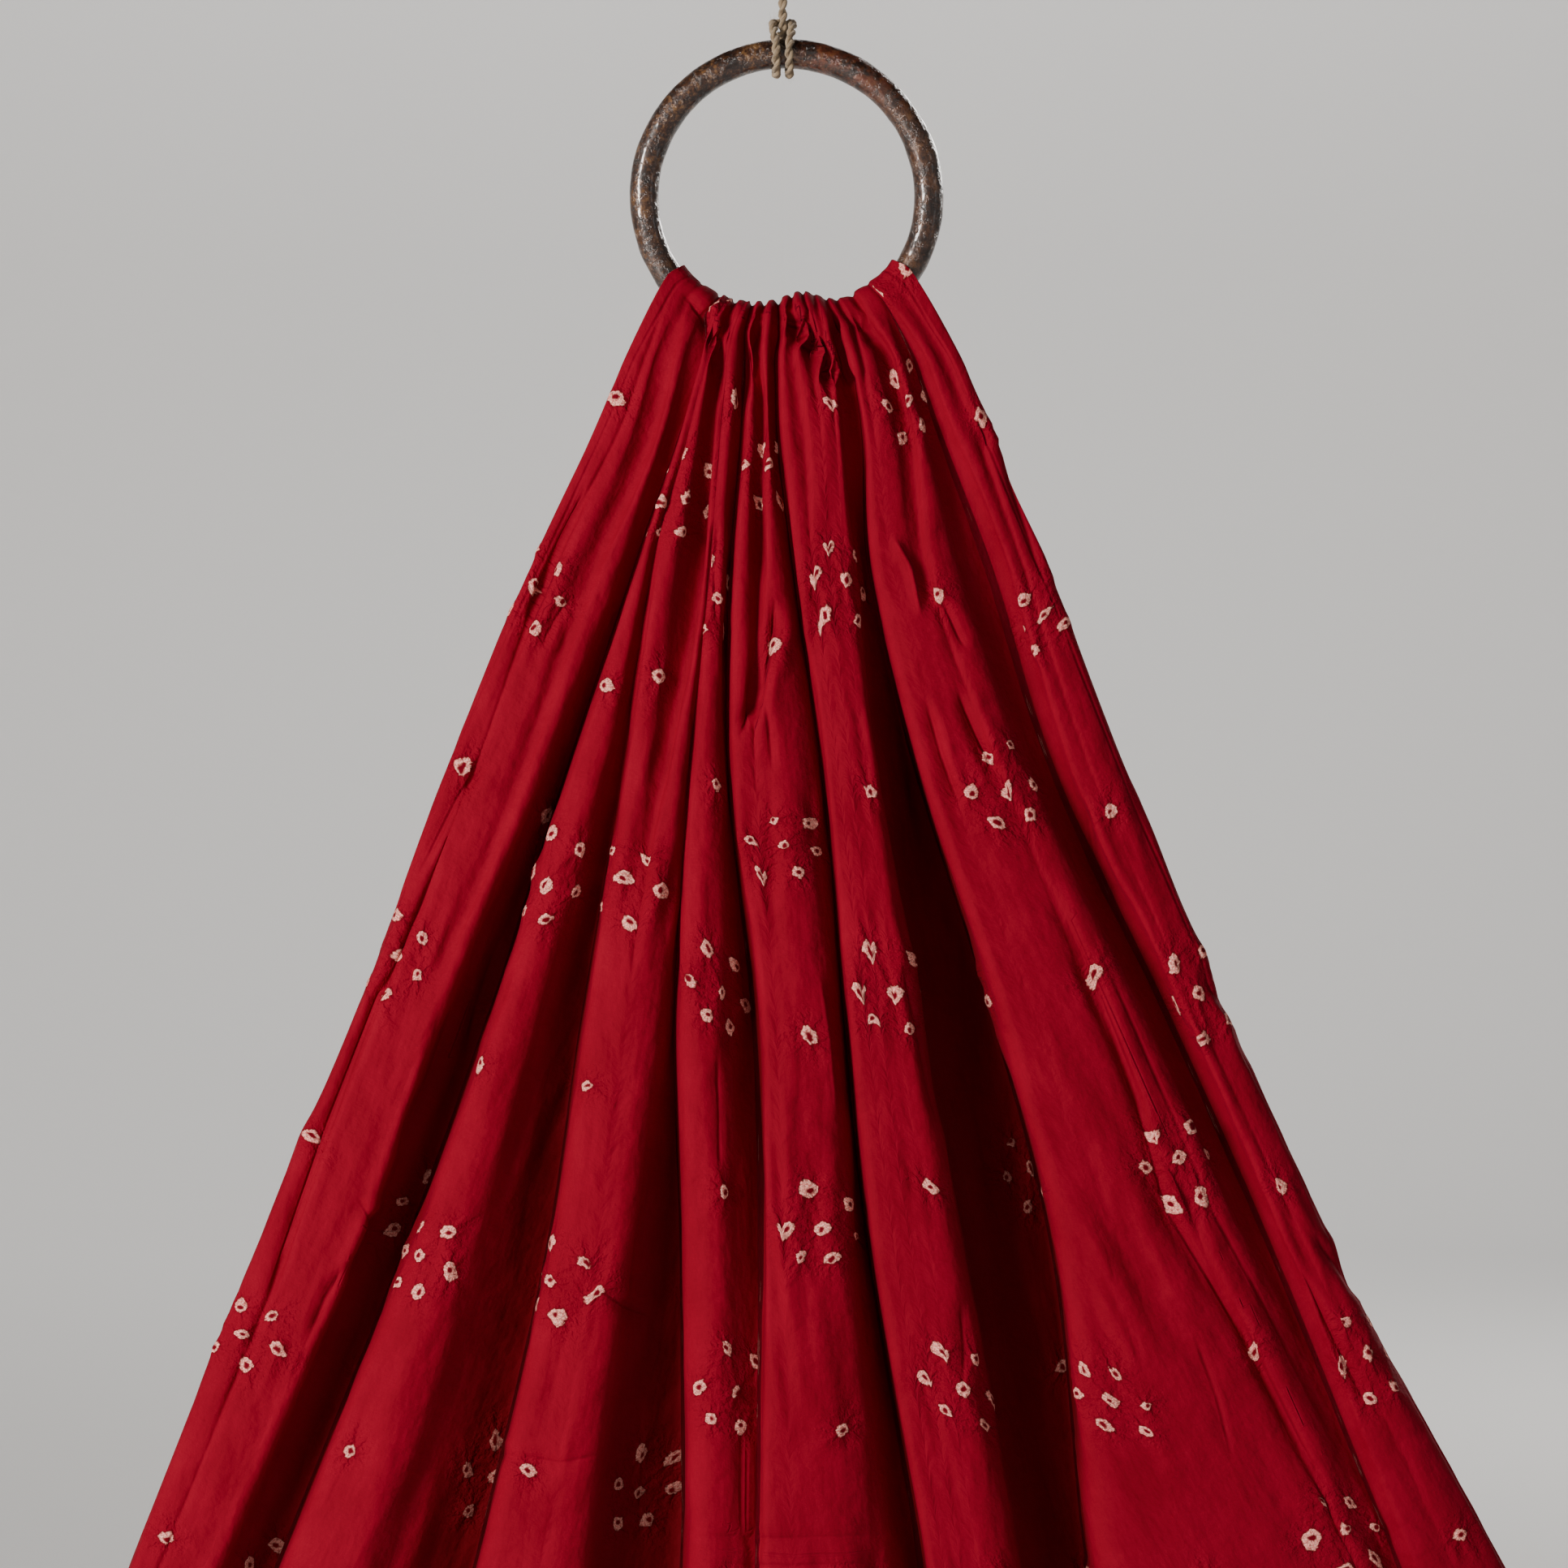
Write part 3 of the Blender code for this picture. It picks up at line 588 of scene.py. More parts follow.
def ringRow(section, tubeAngle, settings):
    along, around = np.radians(section[:, 0]), math.radians(tubeAngle)
    outward = np.stack([np.cos(along), np.zeros(len(along)), np.sin(along)], axis=1)
    centre = np.array([settings["ringX"], 0.0, settings["ringZ"]]) + outward * settings["ringRadius"]
    way = -outward * math.cos(around) + np.array([0.0, -1.0, 0.0]) * math.sin(around)
    return centre + way * (settings["ringStandoff"] + section[:, 1:2])


def frontAcross(level, settings):
    # Places of the columns, spread evenly between the fold lines
    places = np.array([float(tableCurve(levels, line[4], level)) for line in foldLines])
    return np.interp(np.arange(tubes * tubeColumns + 1) / tubeColumns, np.arange(tubes + 1), places)


def backAcross(level, settings):
    # As gathered at the ring, and spread evenly below it
    gathered = frontAcross(level, settings)
    even = np.linspace(gathered[0], gathered[-1], len(gathered))
    spread = min(max((level - levels[0]) / settings["backSpreadDrop"], 0.0), 1.0)
    return gathered * (1 - spread) + even * spread


def hemLevels(starts, length, acrossOf, settings):
    ends = -starts[:, 2] + length
    for _ in range(6):
        across = np.array([acrossOf(end, settings)[column] for column, end in enumerate(ends)])
        ends = -starts[:, 2] + np.sqrt(length ** 2 - (across + settings["ringX"] - starts[:, 0]) ** 2)
    return ends


def clothRows(settings):
    # Control rows from the front hem over the ring to the back hem
    starts = ringRow(ringSection(settings, 1.0), 90.0, settings)
    frontEnds = hemLevels(starts, settings["frontLength"], frontAcross, settings)
    backEnds = hemLevels(starts, settings["backLength"], backAcross, settings)
    columns = np.arange(tubes * tubeColumns + 1)
    stations = np.linspace(levels[0], max(frontEnds.max(), backEnds.max()) + 1, settings["stations"])
    front = np.stack([frontSection(station, settings) for station in stations])
    wave = (1 - np.cos(2 * np.pi * columns / (tubeColumns * settings["backFoldTubes"]))) / 2
    back = np.stack([np.stack([
        backAcross(station, settings) * settings["backWidthShare"],
        -(heldCurve(levels, backBase, station) + wave * heldCurve(levels, backFoldHeight, station))], axis=1)
        for station in stations])

    def rowAt(fan, ends, share):
        at = levels[0] + share * (ends - levels[0])
        values = np.stack([[np.interp(at[column], stations, fan[:, column, axis]) for axis in (0, 1)]
                           for column in columns])
        return np.stack([settings["ringX"] + values[:, 0], -values[:, 1], -at], axis=1)

    rows = [rowAt(front, frontEnds, share) for share in frontShares]
    for angle in tubeDegrees:
        deeper = np.interp(angle, (10.0, 90.0), (1.0, settings["ringDepth"]))
        rows.append(ringRow(ringSection(settings, deeper), angle, settings))
    rows += [rowAt(back, backEnds, share) for share in backShares]
    return np.stack(rows)


def clothGrid(settings):
    # The smooth sheet, with the place of each of its columns among the control columns
    rows = clothRows(settings)
    frontCount = len(frontShares) + len(tubeDegrees) - 1
    lengths = np.linalg.norm(np.diff(rows[settings["measuredRow"]], axis=0), axis=1)
    counts = np.maximum(np.round(lengths / settings["columnStep"]).astype(int), 2)
    fine = refine(rows.transpose(1, 0, 2), counts).transpose(1, 0, 2)
    place = np.concatenate([np.arange(count) / count + index for index, count in enumerate(counts)]
                           + [[len(counts)]])
    spans = np.linalg.norm(np.diff(fine, axis=0), axis=2).mean(axis=1)
    steps = [settings["frontRowStep"] if index < frontCount else settings["backRowStep"]
             for index in range(len(spans))]
    return refine(fine, [max(1, int(round(span / step))) for span, step in zip(spans, steps)]), place


def gridNormals(grid):
    normals = np.cross(np.gradient(grid, axis=1), np.gradient(grid, axis=0))
    return normals / np.maximum(np.linalg.norm(normals, axis=2, keepdims=True), 1e-9)


def surfaceLengths(grid):
    # Length across from the left edge, length down from the ring, and the row that lies highest on the ring
    across = np.concatenate([np.zeros((grid.shape[0], 1)),
                             np.cumsum(np.linalg.norm(np.diff(grid, axis=1), axis=2), axis=1)], axis=1)
    along = np.concatenate([np.zeros((1, grid.shape[1])),
                            np.cumsum(np.linalg.norm(np.diff(grid, axis=0), axis=2), axis=0)])
    ringRowIndex = int(np.argmax(grid[:, grid.shape[1] // 2, 2]))
    return across, np.abs(along - along[ringRowIndex]), ringRowIndex


# The tied dots: a chequer of single dots and rings of six round a seventh. Each part of the cloth between
# two deep valleys has its own: the columns of the sheet that it spans, the column that the dots are centred
# on near the ring and at the hem, how far below the ring a ring of seven is, and how far apart its rows are
dotSettings = {
    "across": 50.0, "down": 62.5, "ringOfSix": 11.8, "turn": 0.4, "size": 2.2, "hole": 0.92,
    "raise": 0.75, "raiseReach": 2.4, "raiseStart": 20.0,
    "uneven": ((1.6, (45.0, 110.0)), (0.95, (24.0, 38.0))),
}
frontDots = (
    (0, 18, 4.0, 4.0, 116.0, 63.5),
    (18, 24, 20.3, 20.4, 198.0, 63.0),
    (24, 36, 26.6, 27.2, 194.0, 63.0),
    (36, 42, 40.0, 40.3, 225.0, 62.5),
    (42, 54, 50.8, 51.6, 181.0, 60.0),
    (54, 78, 70.0, 76.0, 229.0, 63.0),
    (78, 96, 91.7, 91.2, 171.0, 64.0),
    (96, 108, 104.5, 105.0, 126.0, 64.0),
)
backDots = tuple((first, first + 18, first + 4.5, first + 4.5, 130.0, 62.5) for first in range(0, 108, 18))
partGap = 400.0  # keeps the places on two parts apart


def smoothField(across, down, waves, count=26):
    # A smooth uneven field over the cloth: the sum of many slanting waves, from waves[0] to waves[1] long
    field = np.zeros(across.shape)
    for _ in range(count):
        turn = chance.uniform(0, 2 * math.pi)
        length = chance.uniform(*waves)
        field += np.cos(2 * math.pi * (down * math.cos(turn) + across * math.sin(turn)) / length
                        + chance.uniform(0, 2 * math.pi))
    return field / math.sqrt(count / 2)


def threadPlaces(across, down, place, ringRowIndex, length):
    # Place of each point on the flat cloth, threads running down the folds, with the part's own rows of dots
    # in the last value, and 0 where a part of the cloth ends
    shape = across.shape
    threads = np.zeros(shape + (3,))
    inner = np.ones(shape)
    rows = np.arange(shape[0])
    for table, fan in ((frontDots, rows < ringRowIndex), (backDots, rows >= ringRowIndex)):
        for number, (first, last, top, hem, cluster, pitch) in enumerate(table):
            columns = (place >= first) & (place <= last)
            for row in rows[fan]:
                share = min(down[row].mean() / length, 1.0)
                centre = np.interp(top + (hem - top) * share, place, across[row])
                threads[row, columns, 0] = across[row, columns] - centre + partGap * number
                threads[row, columns, 2] = (down[row, columns] - cluster) / pitch
            threads[np.ix_(fan, columns, [1])] = down[np.ix_(fan, columns)][..., None]
            if last < place[-1]:
                edge = int(np.argmin(np.abs(place - last)))
                inner[np.ix_(fan, (edge, edge + 1))] = 0.0
    return threads, inner


def tiePlaces(threads, inner, settings):
    # Place of each point in the chequer of dots, uneven as hand tying is, and 0 beside the valleys
    ties = np.stack([np.mod(threads[..., 0] + partGap / 2, partGap) - partGap / 2,
                     threads[..., 2] * settings["down"], inner], axis=-1)
    for height, waves in settings["uneven"]:
        for axis in (0, 1):
            ties[..., axis] += height * smoothField(threads[..., 0], threads[..., 1], waves)
    return ties


def dotDistance(ties, settings):
    cell = np.round(ties[..., :2] / (settings["across"], settings["down"]))
    offset = ties[..., :2] - cell * (settings["across"], settings["down"])
    single = np.mod(cell.sum(axis=-1), 2) > 0.5
    radius = np.hypot(offset[..., 0], offset[..., 1])
    sixth = math.pi / 3
    folded = np.mod(np.arctan2(offset[..., 1], offset[..., 0]) + settings["turn"], sixth) - sixth / 2
    onRing = np.hypot(radius * np.cos(folded) - settings["ringOfSix"], radius * np.sin(folded))
    return np.where(single, radius, np.minimum(radius, onRing))


# Creases seen in the cloth: half width, depth (a ridge when negative), and their run in the photograph
creaseLines = (
    (1.9, 1.7, (962, 378), (985, 405), (1008, 440), (1030, 482)),
    (1.6, 1.3, (998, 378), (1008, 412), (1022, 445), (1036, 470)),
    (1.5, 1.3, (1026, 384), (1030, 420), (1040, 452), (1050, 476)),
    (1.5, 1.0, (1052, 392), (1066, 402), (1080, 424)),
    (1.5, 0.8, (930, 372), (934, 405), (926, 450), (918, 500)),
    (1.4, 0.8, (905, 366), (897, 400), (892, 440), (884, 500)),
    (1.5, 1.0, (840, 360), (868, 390), (882, 432), (884, 470)),
    (1.8, 0.9, (722, 600), (680, 690), (650, 770)),
    (1.5, 0.7, (600, 940), (565, 980), (510, 1090)),
    (1.5, 0.9, (485, 1200), (465, 1230), (445, 1280), (400, 1390), (350, 1540), (330, 1600)),
    (1.8, 0.7, (430, 1580), (455, 1530), (482, 1480)),
    (1.6, 0.6, (380, 1650), (400, 1600), (422, 1562)),
    (1.5, 0.6, (440, 1475), (462, 1508), (470, 1560)),
    (2.0, 1.5, (955, 740), (951, 780), (937, 830), (925, 880), (912, 905)),
    (1.2, 0.5, (942, 850), (948, 900), (952, 950)),
    (1.3, 0.6, (700, 740), (680, 770), (665, 802)),
    (1.6, 0.8, (1160, 740), (1175, 770), (1190, 800)),
    (1.7, 0.9, (1180, 850), (1205, 905), (1230, 960)),
    (1.8, 0.8, (1290, 1080), (1350, 1220), (1400, 1350), (1440, 1490), (1530, 1640), (1600, 1780),
     (1650, 1850)),
    (1.5, 0.5, (1335, 1130), (1392, 1250), (1444, 1370), (1494, 1490), (1572, 1630), (1640, 1770)),
    (1.3, 0.6, (885, 1300), (888, 1370), (887, 1450)),
    (1.2, 0.35, (915, 1760), (914, 1830), (915, 1900)),
    (1.2, 0.3, (932, 1760), (933, 1830), (932, 1900)),
    (1.7, 0.8, (1112, 1180), (1130, 1260), (1160, 1400)),
    (1.4, 0.6, (1185, 1600), (1190, 1660), (1186, 1720)),
    (1.6, 0.3, (855, 1893), (960, 1896), (1100, 1892)),
    (1.4, 0.25, (860, 1927), (980, 1930), (1100, 1926)),
    (1.8, 0.35, (600, 1790), (650, 1797), (690, 1803), (760, 1790)),
    (1.5, 0.6, (740, 1590), (770, 1608), (800, 1620)),
    (1.6, 0.9, (1205, 520), (1213, 534), (1216, 552)),
    (1.6, 0.8, (1482, 1190), (1498, 1222), (1530, 1265), (1545, 1312)),
    (1.6, 0.8, (1620, 1520), (1650, 1560), (1680, 1600)),
    (1.8, 0.8, (1800, 1800), (1825, 1850), (1850, 1900)),
    (1.5, -0.7, (1100, 660), (1122, 700), (1135, 760)),
    (1.4, 0.7, (1235, 560), (1262, 640), (1288, 720)),
    (1.6, 0.8, (1330, 980), (1350, 1060), (1380, 1120)),
    (1.6, -0.6, (1010, 1200), (1020, 1290), (1030, 1380)),
    (1.5, 0.6, (1140, 860), (1160, 930), (1185, 1000)),
    (1.5, 0.7, (560, 1240), (530, 1330), (490, 1420)),
    (1.4, 0.6, (620, 1150), (590, 1240), (575, 1300)),
    (1.5, 0.6, (885, 640), (880, 700), (884, 780)),
    (1.4, 0.6, (930, 560), (936, 640), (938, 720)),
    (1.5, 0.6, (1600, 1560), (1640, 1640), (1690, 1740)),
    (1.4, 0.5, (1470, 1640), (1500, 1720), (1520, 1800)),
)


def photoPlaces(points, settings):
    # Where points in metres stand in the photograph, in its own pixels
    depth = points[..., 1] + settings["distance"]
    scale = settings["distance"] * settings["pixelsPerMetre"] / depth
    half = settings["pixels"] / 2
    return (half + (points[..., 0] - settings["right"]) * scale,
            half - (points[..., 2] - settings["height"]) * scale)


def creaseFields(x, y, settings, perMillimetre):
    # How far each crease pushes the cloth, then the distance to the nearest one and its depth, for its fine
    # line in the material
    lipHeight, lipPlace = settings["creaseLip"]
    total = np.zeros(x.shape)
    best = np.full(x.shape, 1e9)
    lines = np.zeros(x.shape + (3,))
    for halfWidth, depth, *run in creaseLines:
        nearest = np.full(x.shape, 1e9)
        beside = np.zeros(x.shape)
        along = np.zeros(x.shape)
        steps = len(run) - 1
        for index, ((x0, y0), (x1, y1)) in enumerate(zip(run, run[1:])):
            length = math.hypot(x1 - x0, y1 - y0)
            share = np.clip(((x - x0) * (x1 - x0) + (y - y0) * (y1 - y0)) / length ** 2, 0, 1)
            away = np.hypot(x - x0 - share * (x1 - x0), y - y0 - share * (y1 - y0))
            side = ((x - x0) * (y1 - y0) - (y - y0) * (x1 - x0)) / length
            closer = away < nearest
            nearest = np.where(closer, away, nearest)
            beside = np.where(closer, side, beside)
            along = np.where(closer, (index + share) / steps, along)
        nearest, beside = nearest / perMillimetre, beside / perMillimetre
        ends = settings["creaseFade"]
        fade = np.clip(along * ends, 0, 1) * np.clip((1 - along) * ends, 0, 1)
        wide = halfWidth * settings["creaseWidth"]
        ridge = np.exp(-(beside / wide - lipPlace) ** 2) * (nearest < 4 * wide)
        total += settings["creaseDepth"] * depth * fade * (lipHeight * ridge - np.exp(-(nearest / wide) ** 2))
        closer = nearest < best
        best = np.where(closer, nearest, best)
        shown = nearest < settings["lineReach"]
        lines[closer] = np.stack([beside, depth * fade * shown, beside * 0], axis=-1)[closer]
    return total, lines


def strands(threads, wide, tall, count=22):
    # Long soft wrinkles that run down the cloth, about so wide and tall in millimetres
    field = np.zeros(threads.shape[:2])
    for _ in range(count):
        across = chance.uniform(0.7, 1.5) * wide
        along = chance.choice((-1, 1)) * chance.uniform(0.6, 2.2) * tall
        field += np.cos(2 * math.pi * (threads[..., 0] / across + threads[..., 1] / along)
                        + chance.uniform(0, 2 * math.pi))
    return field / math.sqrt(count / 2)


def paintedFoldShade(grid, onFront, settings):
    # How deep each point lies behind the cloth on either side of it: 0 on the crests, 1 deep in a valley
    # It sets the painted shade: the cloth's colour is darkened deep in the folds
    height = np.where(onFront, -grid[..., 1], grid[..., 1])
    nearest = np.full(height.shape, -1e9)
    for row in range(len(height)):
        x = grid[row, :, 0]
        beside = np.abs(x[:, None] - x[None, :])
        seen = height[row][None, :] - beside * settings["shadeSlope"]
        nearest[row] = np.max(np.where(beside < settings["shadeReach"], seen, -1e9), axis=1)
    share = np.clip((nearest - height - settings["shadeFrom"]) / settings["shadeDepth"], 0.0, 1.0)
    return share * share * (3 - 2 * share)


def hemmed(grid, normals, count, axis, settings):
    # A turned hem along the first edge of an axis: the cloth goes round the edge and lies behind itself
    back = settings["hemBehind"]
    inner, edge, past = settings["hemRoll"]
    grid, normals = np.moveaxis(grid, axis, 0), np.moveaxis(normals, axis, 0)
    outward = grid[0] - grid[1]
    outward /= np.maximum(np.linalg.norm(outward, axis=-1, keepdims=True), 1e-9)
    turned = [grid[count] - normals[count] * back, grid[1] - normals[1] * back * inner,
              grid[0] - normals[0] * back * edge + outward * past]
    return np.moveaxis(np.concatenate([np.stack(turned), grid]), 0, axis)


def turnedHems(grid, settings):
    for axis, count in ((0, settings["hemRows"]), (1, settings["hemColumns"])):
        grid = hemmed(grid, gridNormals(grid), count, axis, settings)
        flipped = np.flip(grid, axis)
        normals = np.flip(gridNormals(grid), axis)
        steps = settings["backHemRows"] if axis == 0 else count
        grid = np.flip(hemmed(flipped, normals, steps, axis, settings), axis)
    return grid


def extended(values):
    # The same values for the three rows of each turned hem, read off the cloth that they lie behind
    return np.pad(values, ((3, 3), (3, 3)) + ((0, 0),) * (values.ndim - 2), mode="edge")


def wrinkleRelief(threads, away, down, settings):
    start, length, least = settings["wrinkleStart"]
    even, uneven = settings["rumpleShare"]
    byDots, reach = settings["rumpleByDots"]
    clear = np.clip((down - start) / length, least, 1.0)
    rumpled = even + uneven * smoothField(threads[..., 0], threads[..., 1], settings["rumpleWaves"])
    rumpled = rumpled + byDots * np.exp(-(away / reach) ** 2)
    return clear * np.clip(rumpled, *settings["rumpleLimits"]) * sum(
        height * strands(threads, wide, tall) for height, wide, tall in settings["wrinkles"])


def shapedCloth(settings, dots, view):
    grid, place = clothGrid(settings)
    across, down, ringRowIndex = surfaceLengths(grid)
    onFront = (np.arange(len(grid)) < ringRowIndex)[:, None]
    threads, inner = threadPlaces(across, down, place, ringRowIndex, settings["frontLength"])
    ties = tiePlaces(threads, inner, dots)
    away = dotDistance(ties, dots)
    start, length = settings["shadeStart"]
    # Painted shade: how far the colour is darkened deep in the folds, fading out towards the ring
    dark = paintedFoldShade(grid, onFront, settings) * np.clip((down - start) / length, 0.0, 1.0)
    relief = wrinkleRelief(threads, away, down, settings)
    x, y = photoPlaces(grid * mm, view)
    pushed, lines = creaseFields(x, y, settings, view["pixelsPerMetre"] * mm)
    relief += np.where(onFront, pushed, 0.0) * np.clip(down / settings["creaseStart"], 0.0, 1.0)
    lines[..., 1] *= onFront
    started = np.clip(down / dots["raiseStart"], 0, 1)
    relief += dots["raise"] * np.exp(-(away / dots["raiseReach"]) ** 2) * inner * started
    grid = grid + gridNormals(grid) * relief[..., None]
    edge = np.minimum(across, across[:, -1:] - across)
    hem = np.where(onFront, down[0][None, :] - down, down[-1][None, :] - down)
    print("cloth:", grid.shape[0], "rows,", grid.shape[1], "columns")
    # The thread places carry the painted fold shade in their last value
    attributes = {"tie": ties, "creaseLine": lines,
                  "threadPlaceAndShade": np.stack([threads[..., 0], threads[..., 1], dark], axis=-1),
                  "edgePlace": np.stack([edge, hem, hem * 0], axis=-1)}
    return turnedHems(grid, settings), {name: extended(values) for name, values in attributes.items()}


def dotPlaces(tree, tie, dots):
    # Place of each point about the middle of its nearest dot
    def length(x, y):
        return maths(tree, "SQRT", scaled(tree, x, x, times(tree, y, y)))

    cells, offsets = [], []
    for socket, pitch in ((tie[0], dots["across"]), (tie[1], dots["down"])):
        cell = maths(tree, "ROUND", maths(tree, "DIVIDE", socket, pitch))
        cells.append(cell)
        offsets.append(minus(tree, socket, times(tree, cell, pitch)))
    single = maths(tree, "GREATER_THAN", maths(tree, "FLOORED_MODULO", plus(tree, *cells), 2.0), 0.5)
    radius = length(*offsets)
    sixth = math.pi / 3
    angle = plus(tree, maths(tree, "ARCTAN2", offsets[1], offsets[0]), dots["turn"])
    folded = minus(tree, maths(tree, "FLOORED_MODULO", angle, sixth), sixth / 2)
    ringX = minus(tree, times(tree, radius, maths(tree, "COSINE", folded)), dots["ringOfSix"])
    ringY = times(tree, radius, maths(tree, "SINE", folded))
    atMiddle = maths(tree, "MAXIMUM", single, maths(tree, "LESS_THAN", radius, length(ringX, ringY)))
    dotX, dotY = [scaled(tree, atMiddle, minus(tree, middle, ring), ring)
                  for middle, ring in ((offsets[0], ringX), (offsets[1], ringY))]
    return dotX, dotY, length


def voileMaterial(settings, dots):
    made, tree, shader = newMaterial("tiedVoile", {"Roughness": 0.8, "Specular IOR Level": 0.05,
                                                   "Sheen Weight": 0.012, "Sheen Roughness": 0.5,
                                                   "Sheen Tint": (0.9, 0.2, 0.3, 1.0)})

    def parts(name):
        vector = addNode(tree, "ShaderNodeAttribute", {}, attribute_name=name).outputs["Vector"]
        return addNode(tree, "ShaderNodeSeparateXYZ", {0: vector}).outputs

    def absolute(value):
        return maths(tree, "ABSOLUTE", value)

    tie, thread, line, hems = [parts(name) for name in ("tie", "threadPlaceAndShade", "creaseLine", "edgePlace")]
    flatPlace = addNode(tree, "ShaderNodeCombineXYZ", {0: thread[0], 1: thread[1]}).outputs[0]
    dotX, dotY, length = dotPlaces(tree, tie, dots)
    wobble = noise(tree, flatPlace, 0.75, 2.0)
    slow = noise(tree, flatPlace, 0.13, 1.0)
    aside = noise(tree, stretched(tree, flatPlace, (-0.17, 0.15, 1.0)), 1.0, 1.0)

    # An undyed dot is between round and square, with an uneven rim and a dyed eye off its middle
    corner = plus(tree, absolute(dotX), absolute(dotY))
    away = scaled(tree, length(dotX, dotY), 0.55, times(tree, corner, 0.37))
    uneven = scaled(tree, wobble, 1.7, minus(tree, away, 0.85))
    size = scaled(tree, slow, 3.8, dots["size"] - 1.9)
    rim = minus(tree, uneven, size)
    inside = soften(tree, rim, 0.10, -0.20)
    eye = length(scaled(tree, slow, 3.0, minus(tree, dotX, 1.5)),
                 scaled(tree, aside, 3.0, minus(tree, dotY, 1.5)))
    eye = scaled(tree, wobble, 1.2, minus(tree, eye, 0.6))
    hole = soften(tree, eye, dots["hole"] - 0.35, dots["hole"] + 0.3)
    shown = soften(tree, tie[2], 0.4, 0.6)
    turn = maths(tree, "ARCTAN2", dotY, dotX)
    rounds = maths(tree, "SINE", scaled(tree, uneven, 6.5, scaled(tree, wobble, 9.0, turn)))
    rays = maths(tree, "SINE", scaled(tree, turn, 9.0, times(tree, wobble, 14.0)))
    gathered = times(tree, soften(tree, rays, 0.5, 1.0, 1.0, 0.5), soften(tree, rounds, 0.3, 1.0, 1.0, 0.55))
    cream = times(tree, times(tree, inside, hole), times(tree, shown, gathered))
    # Painted shadow: a dark red rim just outside each dot stands for the shade round its raised pucker
    rimShadow = times(tree, shown, soften(tree, rim, 0.75, 0.0, 0.0, 0.6))

    # Colour: two reds in the weave, a dark rim of painted shadow round each dot, cream dots, painted shade in
    # valleys
    warp = noise(tree, stretched(tree, flatPlace, (3.1, 0.34, 1.0)), 1.0, 3.0, 0.7)
    weft = noise(tree, stretched(tree, flatPlace, (0.22, 3.1, 1.0)), 1.0, 3.0, 0.7)
    weave = scaled(tree, warp, 0.5, times(tree, weft, 0.5))
    cloudy = noise(tree, stretched(tree, flatPlace, (0.045, 0.03, 1.0)), 1.0, 3.0)
    shade = scaled(tree, weave, 0.45, times(tree, cloudy, 0.55))
    ground = mixColours(tree, soften(tree, shade, 0.34, 0.66), settings["deepRed"], settings["red"])
    ground = mixColours(tree, rimShadow, ground, settings["rimShadowRed"])
    creamy = mixColours(tree, soften(tree, noise(tree, flatPlace, 1.9, 3.0), 0.36, 0.62),
                        settings["pinkish"], settings["cream"])
    dyed = mixColours(tree, cream, ground, creamy)
    # Painted shade: the colour turns to a dark red deep in the folds
    shaded = mixColours(tree, times(tree, thread[2], settings["foldShade"]), dyed, settings["paintedShadeRed"])
    tree.links.new(shaded, shader.inputs["Base Color"])

    # Relief: soft crumples, puckers that run out from each dot, crease lines and the stitching of the hems
    crumple = noise(tree, stretched(tree, flatPlace, (0.17, 0.05, 1.0)), 1.0, 2.0, 0.5)
    crease = noise(tree, stretched(tree, flatPlace, (0.12, 0.12, 1.0)), 1.0, 4.0, 0.5)
    spokes = maths(tree, "SINE", scaled(tree, turn, 7.0, times(tree, wobble, 7.0)))
    pucker = times(tree, times(tree, spokes, soften(tree, away, 12.0, 2.0)), soften(tree, away, 1.2, 3.4))
    height = scaled(tree, crumple, 0.8, times(tree, crease, 1.1))
    height = scaled(tree, pucker, 0.20, height)
    height = scaled(tree, soften(tree, away, 3.4, 0.8), 0.35, height)
    groove = soften(tree, absolute(line[0]), 1.1, 0.0)
    lip = soften(tree, absolute(minus(tree, line[0], 1.9)), 1.6, 0.0)
    height = plus(tree, height, times(tree, line[1], scaled(tree, groove, -0.6, times(tree, lip, 0.3))))
    for socket, seam in ((hems[0], settings["sideSeam"]), (hems[1], settings["hemSeam"])):
        stitched = soften(tree, absolute(minus(tree, socket, seam)), 0.0, 0.9)
        height = scaled(tree, stitched, 0.25, height)
    folds = bump(tree, height, 0.9, 0.0011)
    tree.links.new(bump(tree, weave, 0.35, 0.00022, folds), shader.inputs["Normal"])
    return made


def vertexVectors(piece, name, values):
    made = piece.data.attributes.new(name, "FLOAT_VECTOR", "POINT")
    made.data.foreach_set("vector", np.ascontiguousarray(values, dtype=np.float32).ravel())


def addCloth(settings, dots, view):
    grid, attributes = shapedCloth(settings, dots, view)
    cloth = newPiece("bandhaniCloth", grid, gridFaces(grid.shape[0], grid.shape[1]))
    for name, values in attributes.items():
        vertexVectors(cloth, name, values)
    cloth.data.materials.append(voileMaterial(settings, dots))
    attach(cloth, "root")
    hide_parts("cloth")
    print("cloth triangles:", 2 * len(cloth.data.polygons))


addCloth(clothSettings, dotSettings, cameraSettings)
print("stage: cloth")


# Floor, curved wall all round, and light
studioSettings = {
    "floorZ": -640.0, "radius": 4300.0, "bend": 900.0, "height": 3400.0, "steps": 72, "bendSteps": 14,
    "pale": (0.70, 0.685, 0.67, 1.0), "air": 0.02, "airColour": (0.9, 0.93, 1.0, 1.0),
}
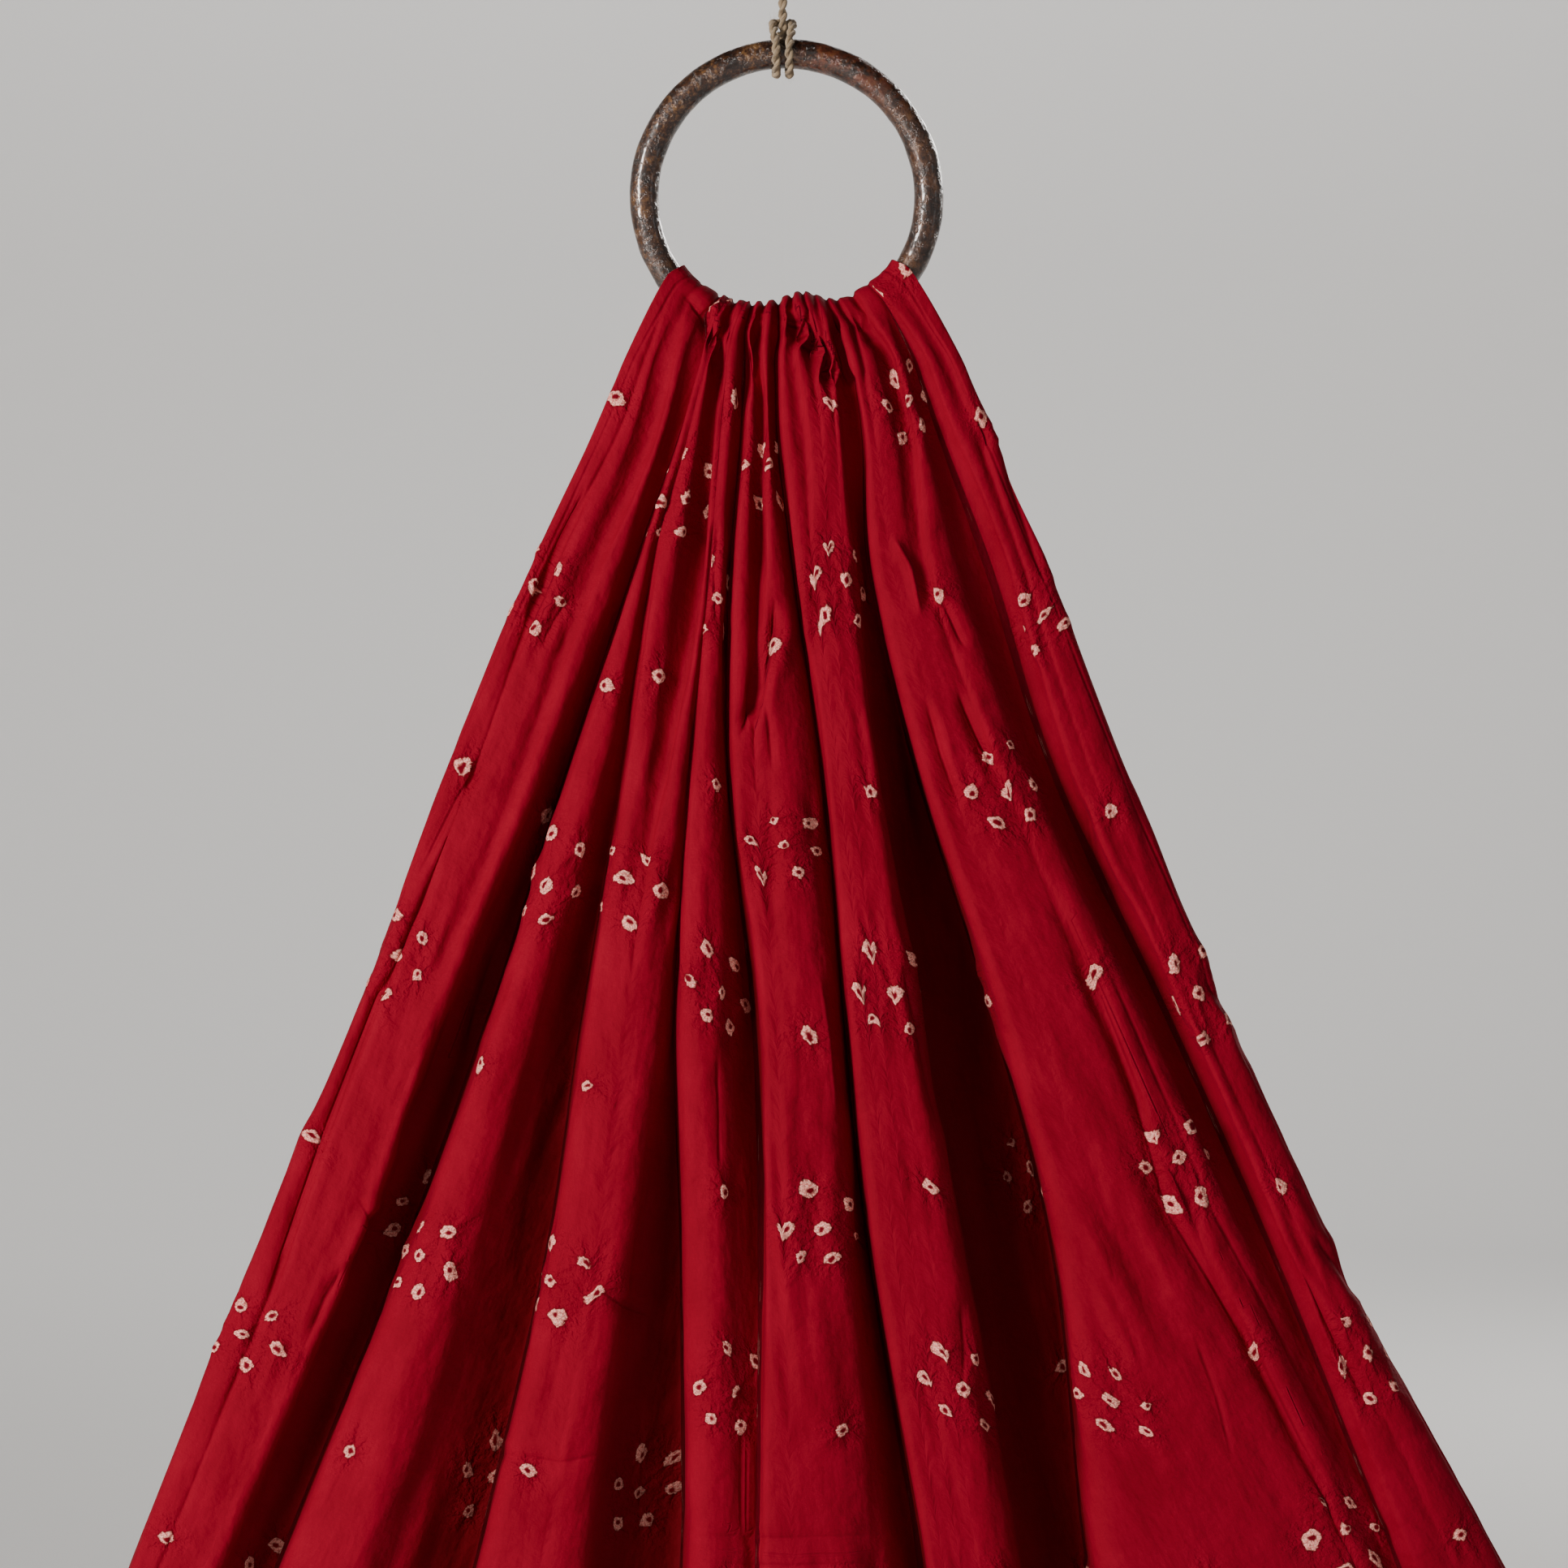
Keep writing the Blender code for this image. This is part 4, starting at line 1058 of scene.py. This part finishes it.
# name, place, what it points at, size, power and colour
studioLights = (
    ("keyLight", (-1.55, -1.45, 0.25), (0.0, 0.0, -0.3), (0.55, 0.95), 68.0, (1.0, 0.97, 0.93)),
    ("fillLight", (1.7, -1.2, 0.1), (0.0, 0.0, -0.3), (0.5, 1.2), 1.5, (0.95, 0.97, 1.0)),
    ("behindLight", (1.3, 1.9, 0.7), (0.0, 0.0, -0.35), (0.8, 0.9), 30.0, (1.0, 0.98, 0.95)),
    ("wallLight", (0.0, 2.9, 1.9), (0.0, 4.3, -0.3), (1.8, 0.4), 48.0, (1.0, 1.0, 1.0)),
    ("frontWallLight", (0.0, -2.9, 1.9), (0.0, -4.3, -0.3), (1.8, 0.4), 14.0, (1.0, 1.0, 1.0)),
)


def addLight(name, place, target, size, power, colour):
    data = bpy.data.lights.new(name, "AREA")
    data.shape = "RECTANGLE"
    data.size, data.size_y = size
    data.energy = power
    data.color = colour
    light = bpy.data.objects.new(name, data)
    light.location = place
    light.rotation_euler = (Vector(target) - Vector(place)).to_track_quat("-Z", "Y").to_euler()
    bpy.context.scene.collection.objects.link(light)


def addStudio(settings, lights):
    bend, floor = settings["bend"], settings["floorZ"]
    flat = settings["radius"] - bend
    profile = [(1.0, 0.0)]
    profile += [(flat + bend * math.sin(turn), bend * (1 - math.cos(turn)))
                for turn in np.linspace(0, math.pi / 2, settings["bendSteps"])]
    profile.append((settings["radius"], settings["height"]))
    turns = np.linspace(0, 2 * math.pi, settings["steps"] + 1)
    points = np.array([[(radius * math.sin(turn), radius * math.cos(turn), floor + z) for turn in turns]
                       for radius, z in profile])
    studio = newPiece("studioRound", points, gridFaces(len(profile), len(turns)))
    paper = newMaterial("palePaper", {"Base Color": settings["pale"], "Roughness": 0.9})[0]
    studio.data.materials.append(paper)
    for light in lights:
        addLight(*light)
    world = bpy.data.worlds.new("studioAir")
    world.use_nodes = True
    background = world.node_tree.nodes["Background"]
    background.inputs["Color"].default_value = settings["airColour"]
    background.inputs["Strength"].default_value = settings["air"]
    bpy.context.scene.world = world


addStudio(studioSettings, studioLights)
print("stage: studio")
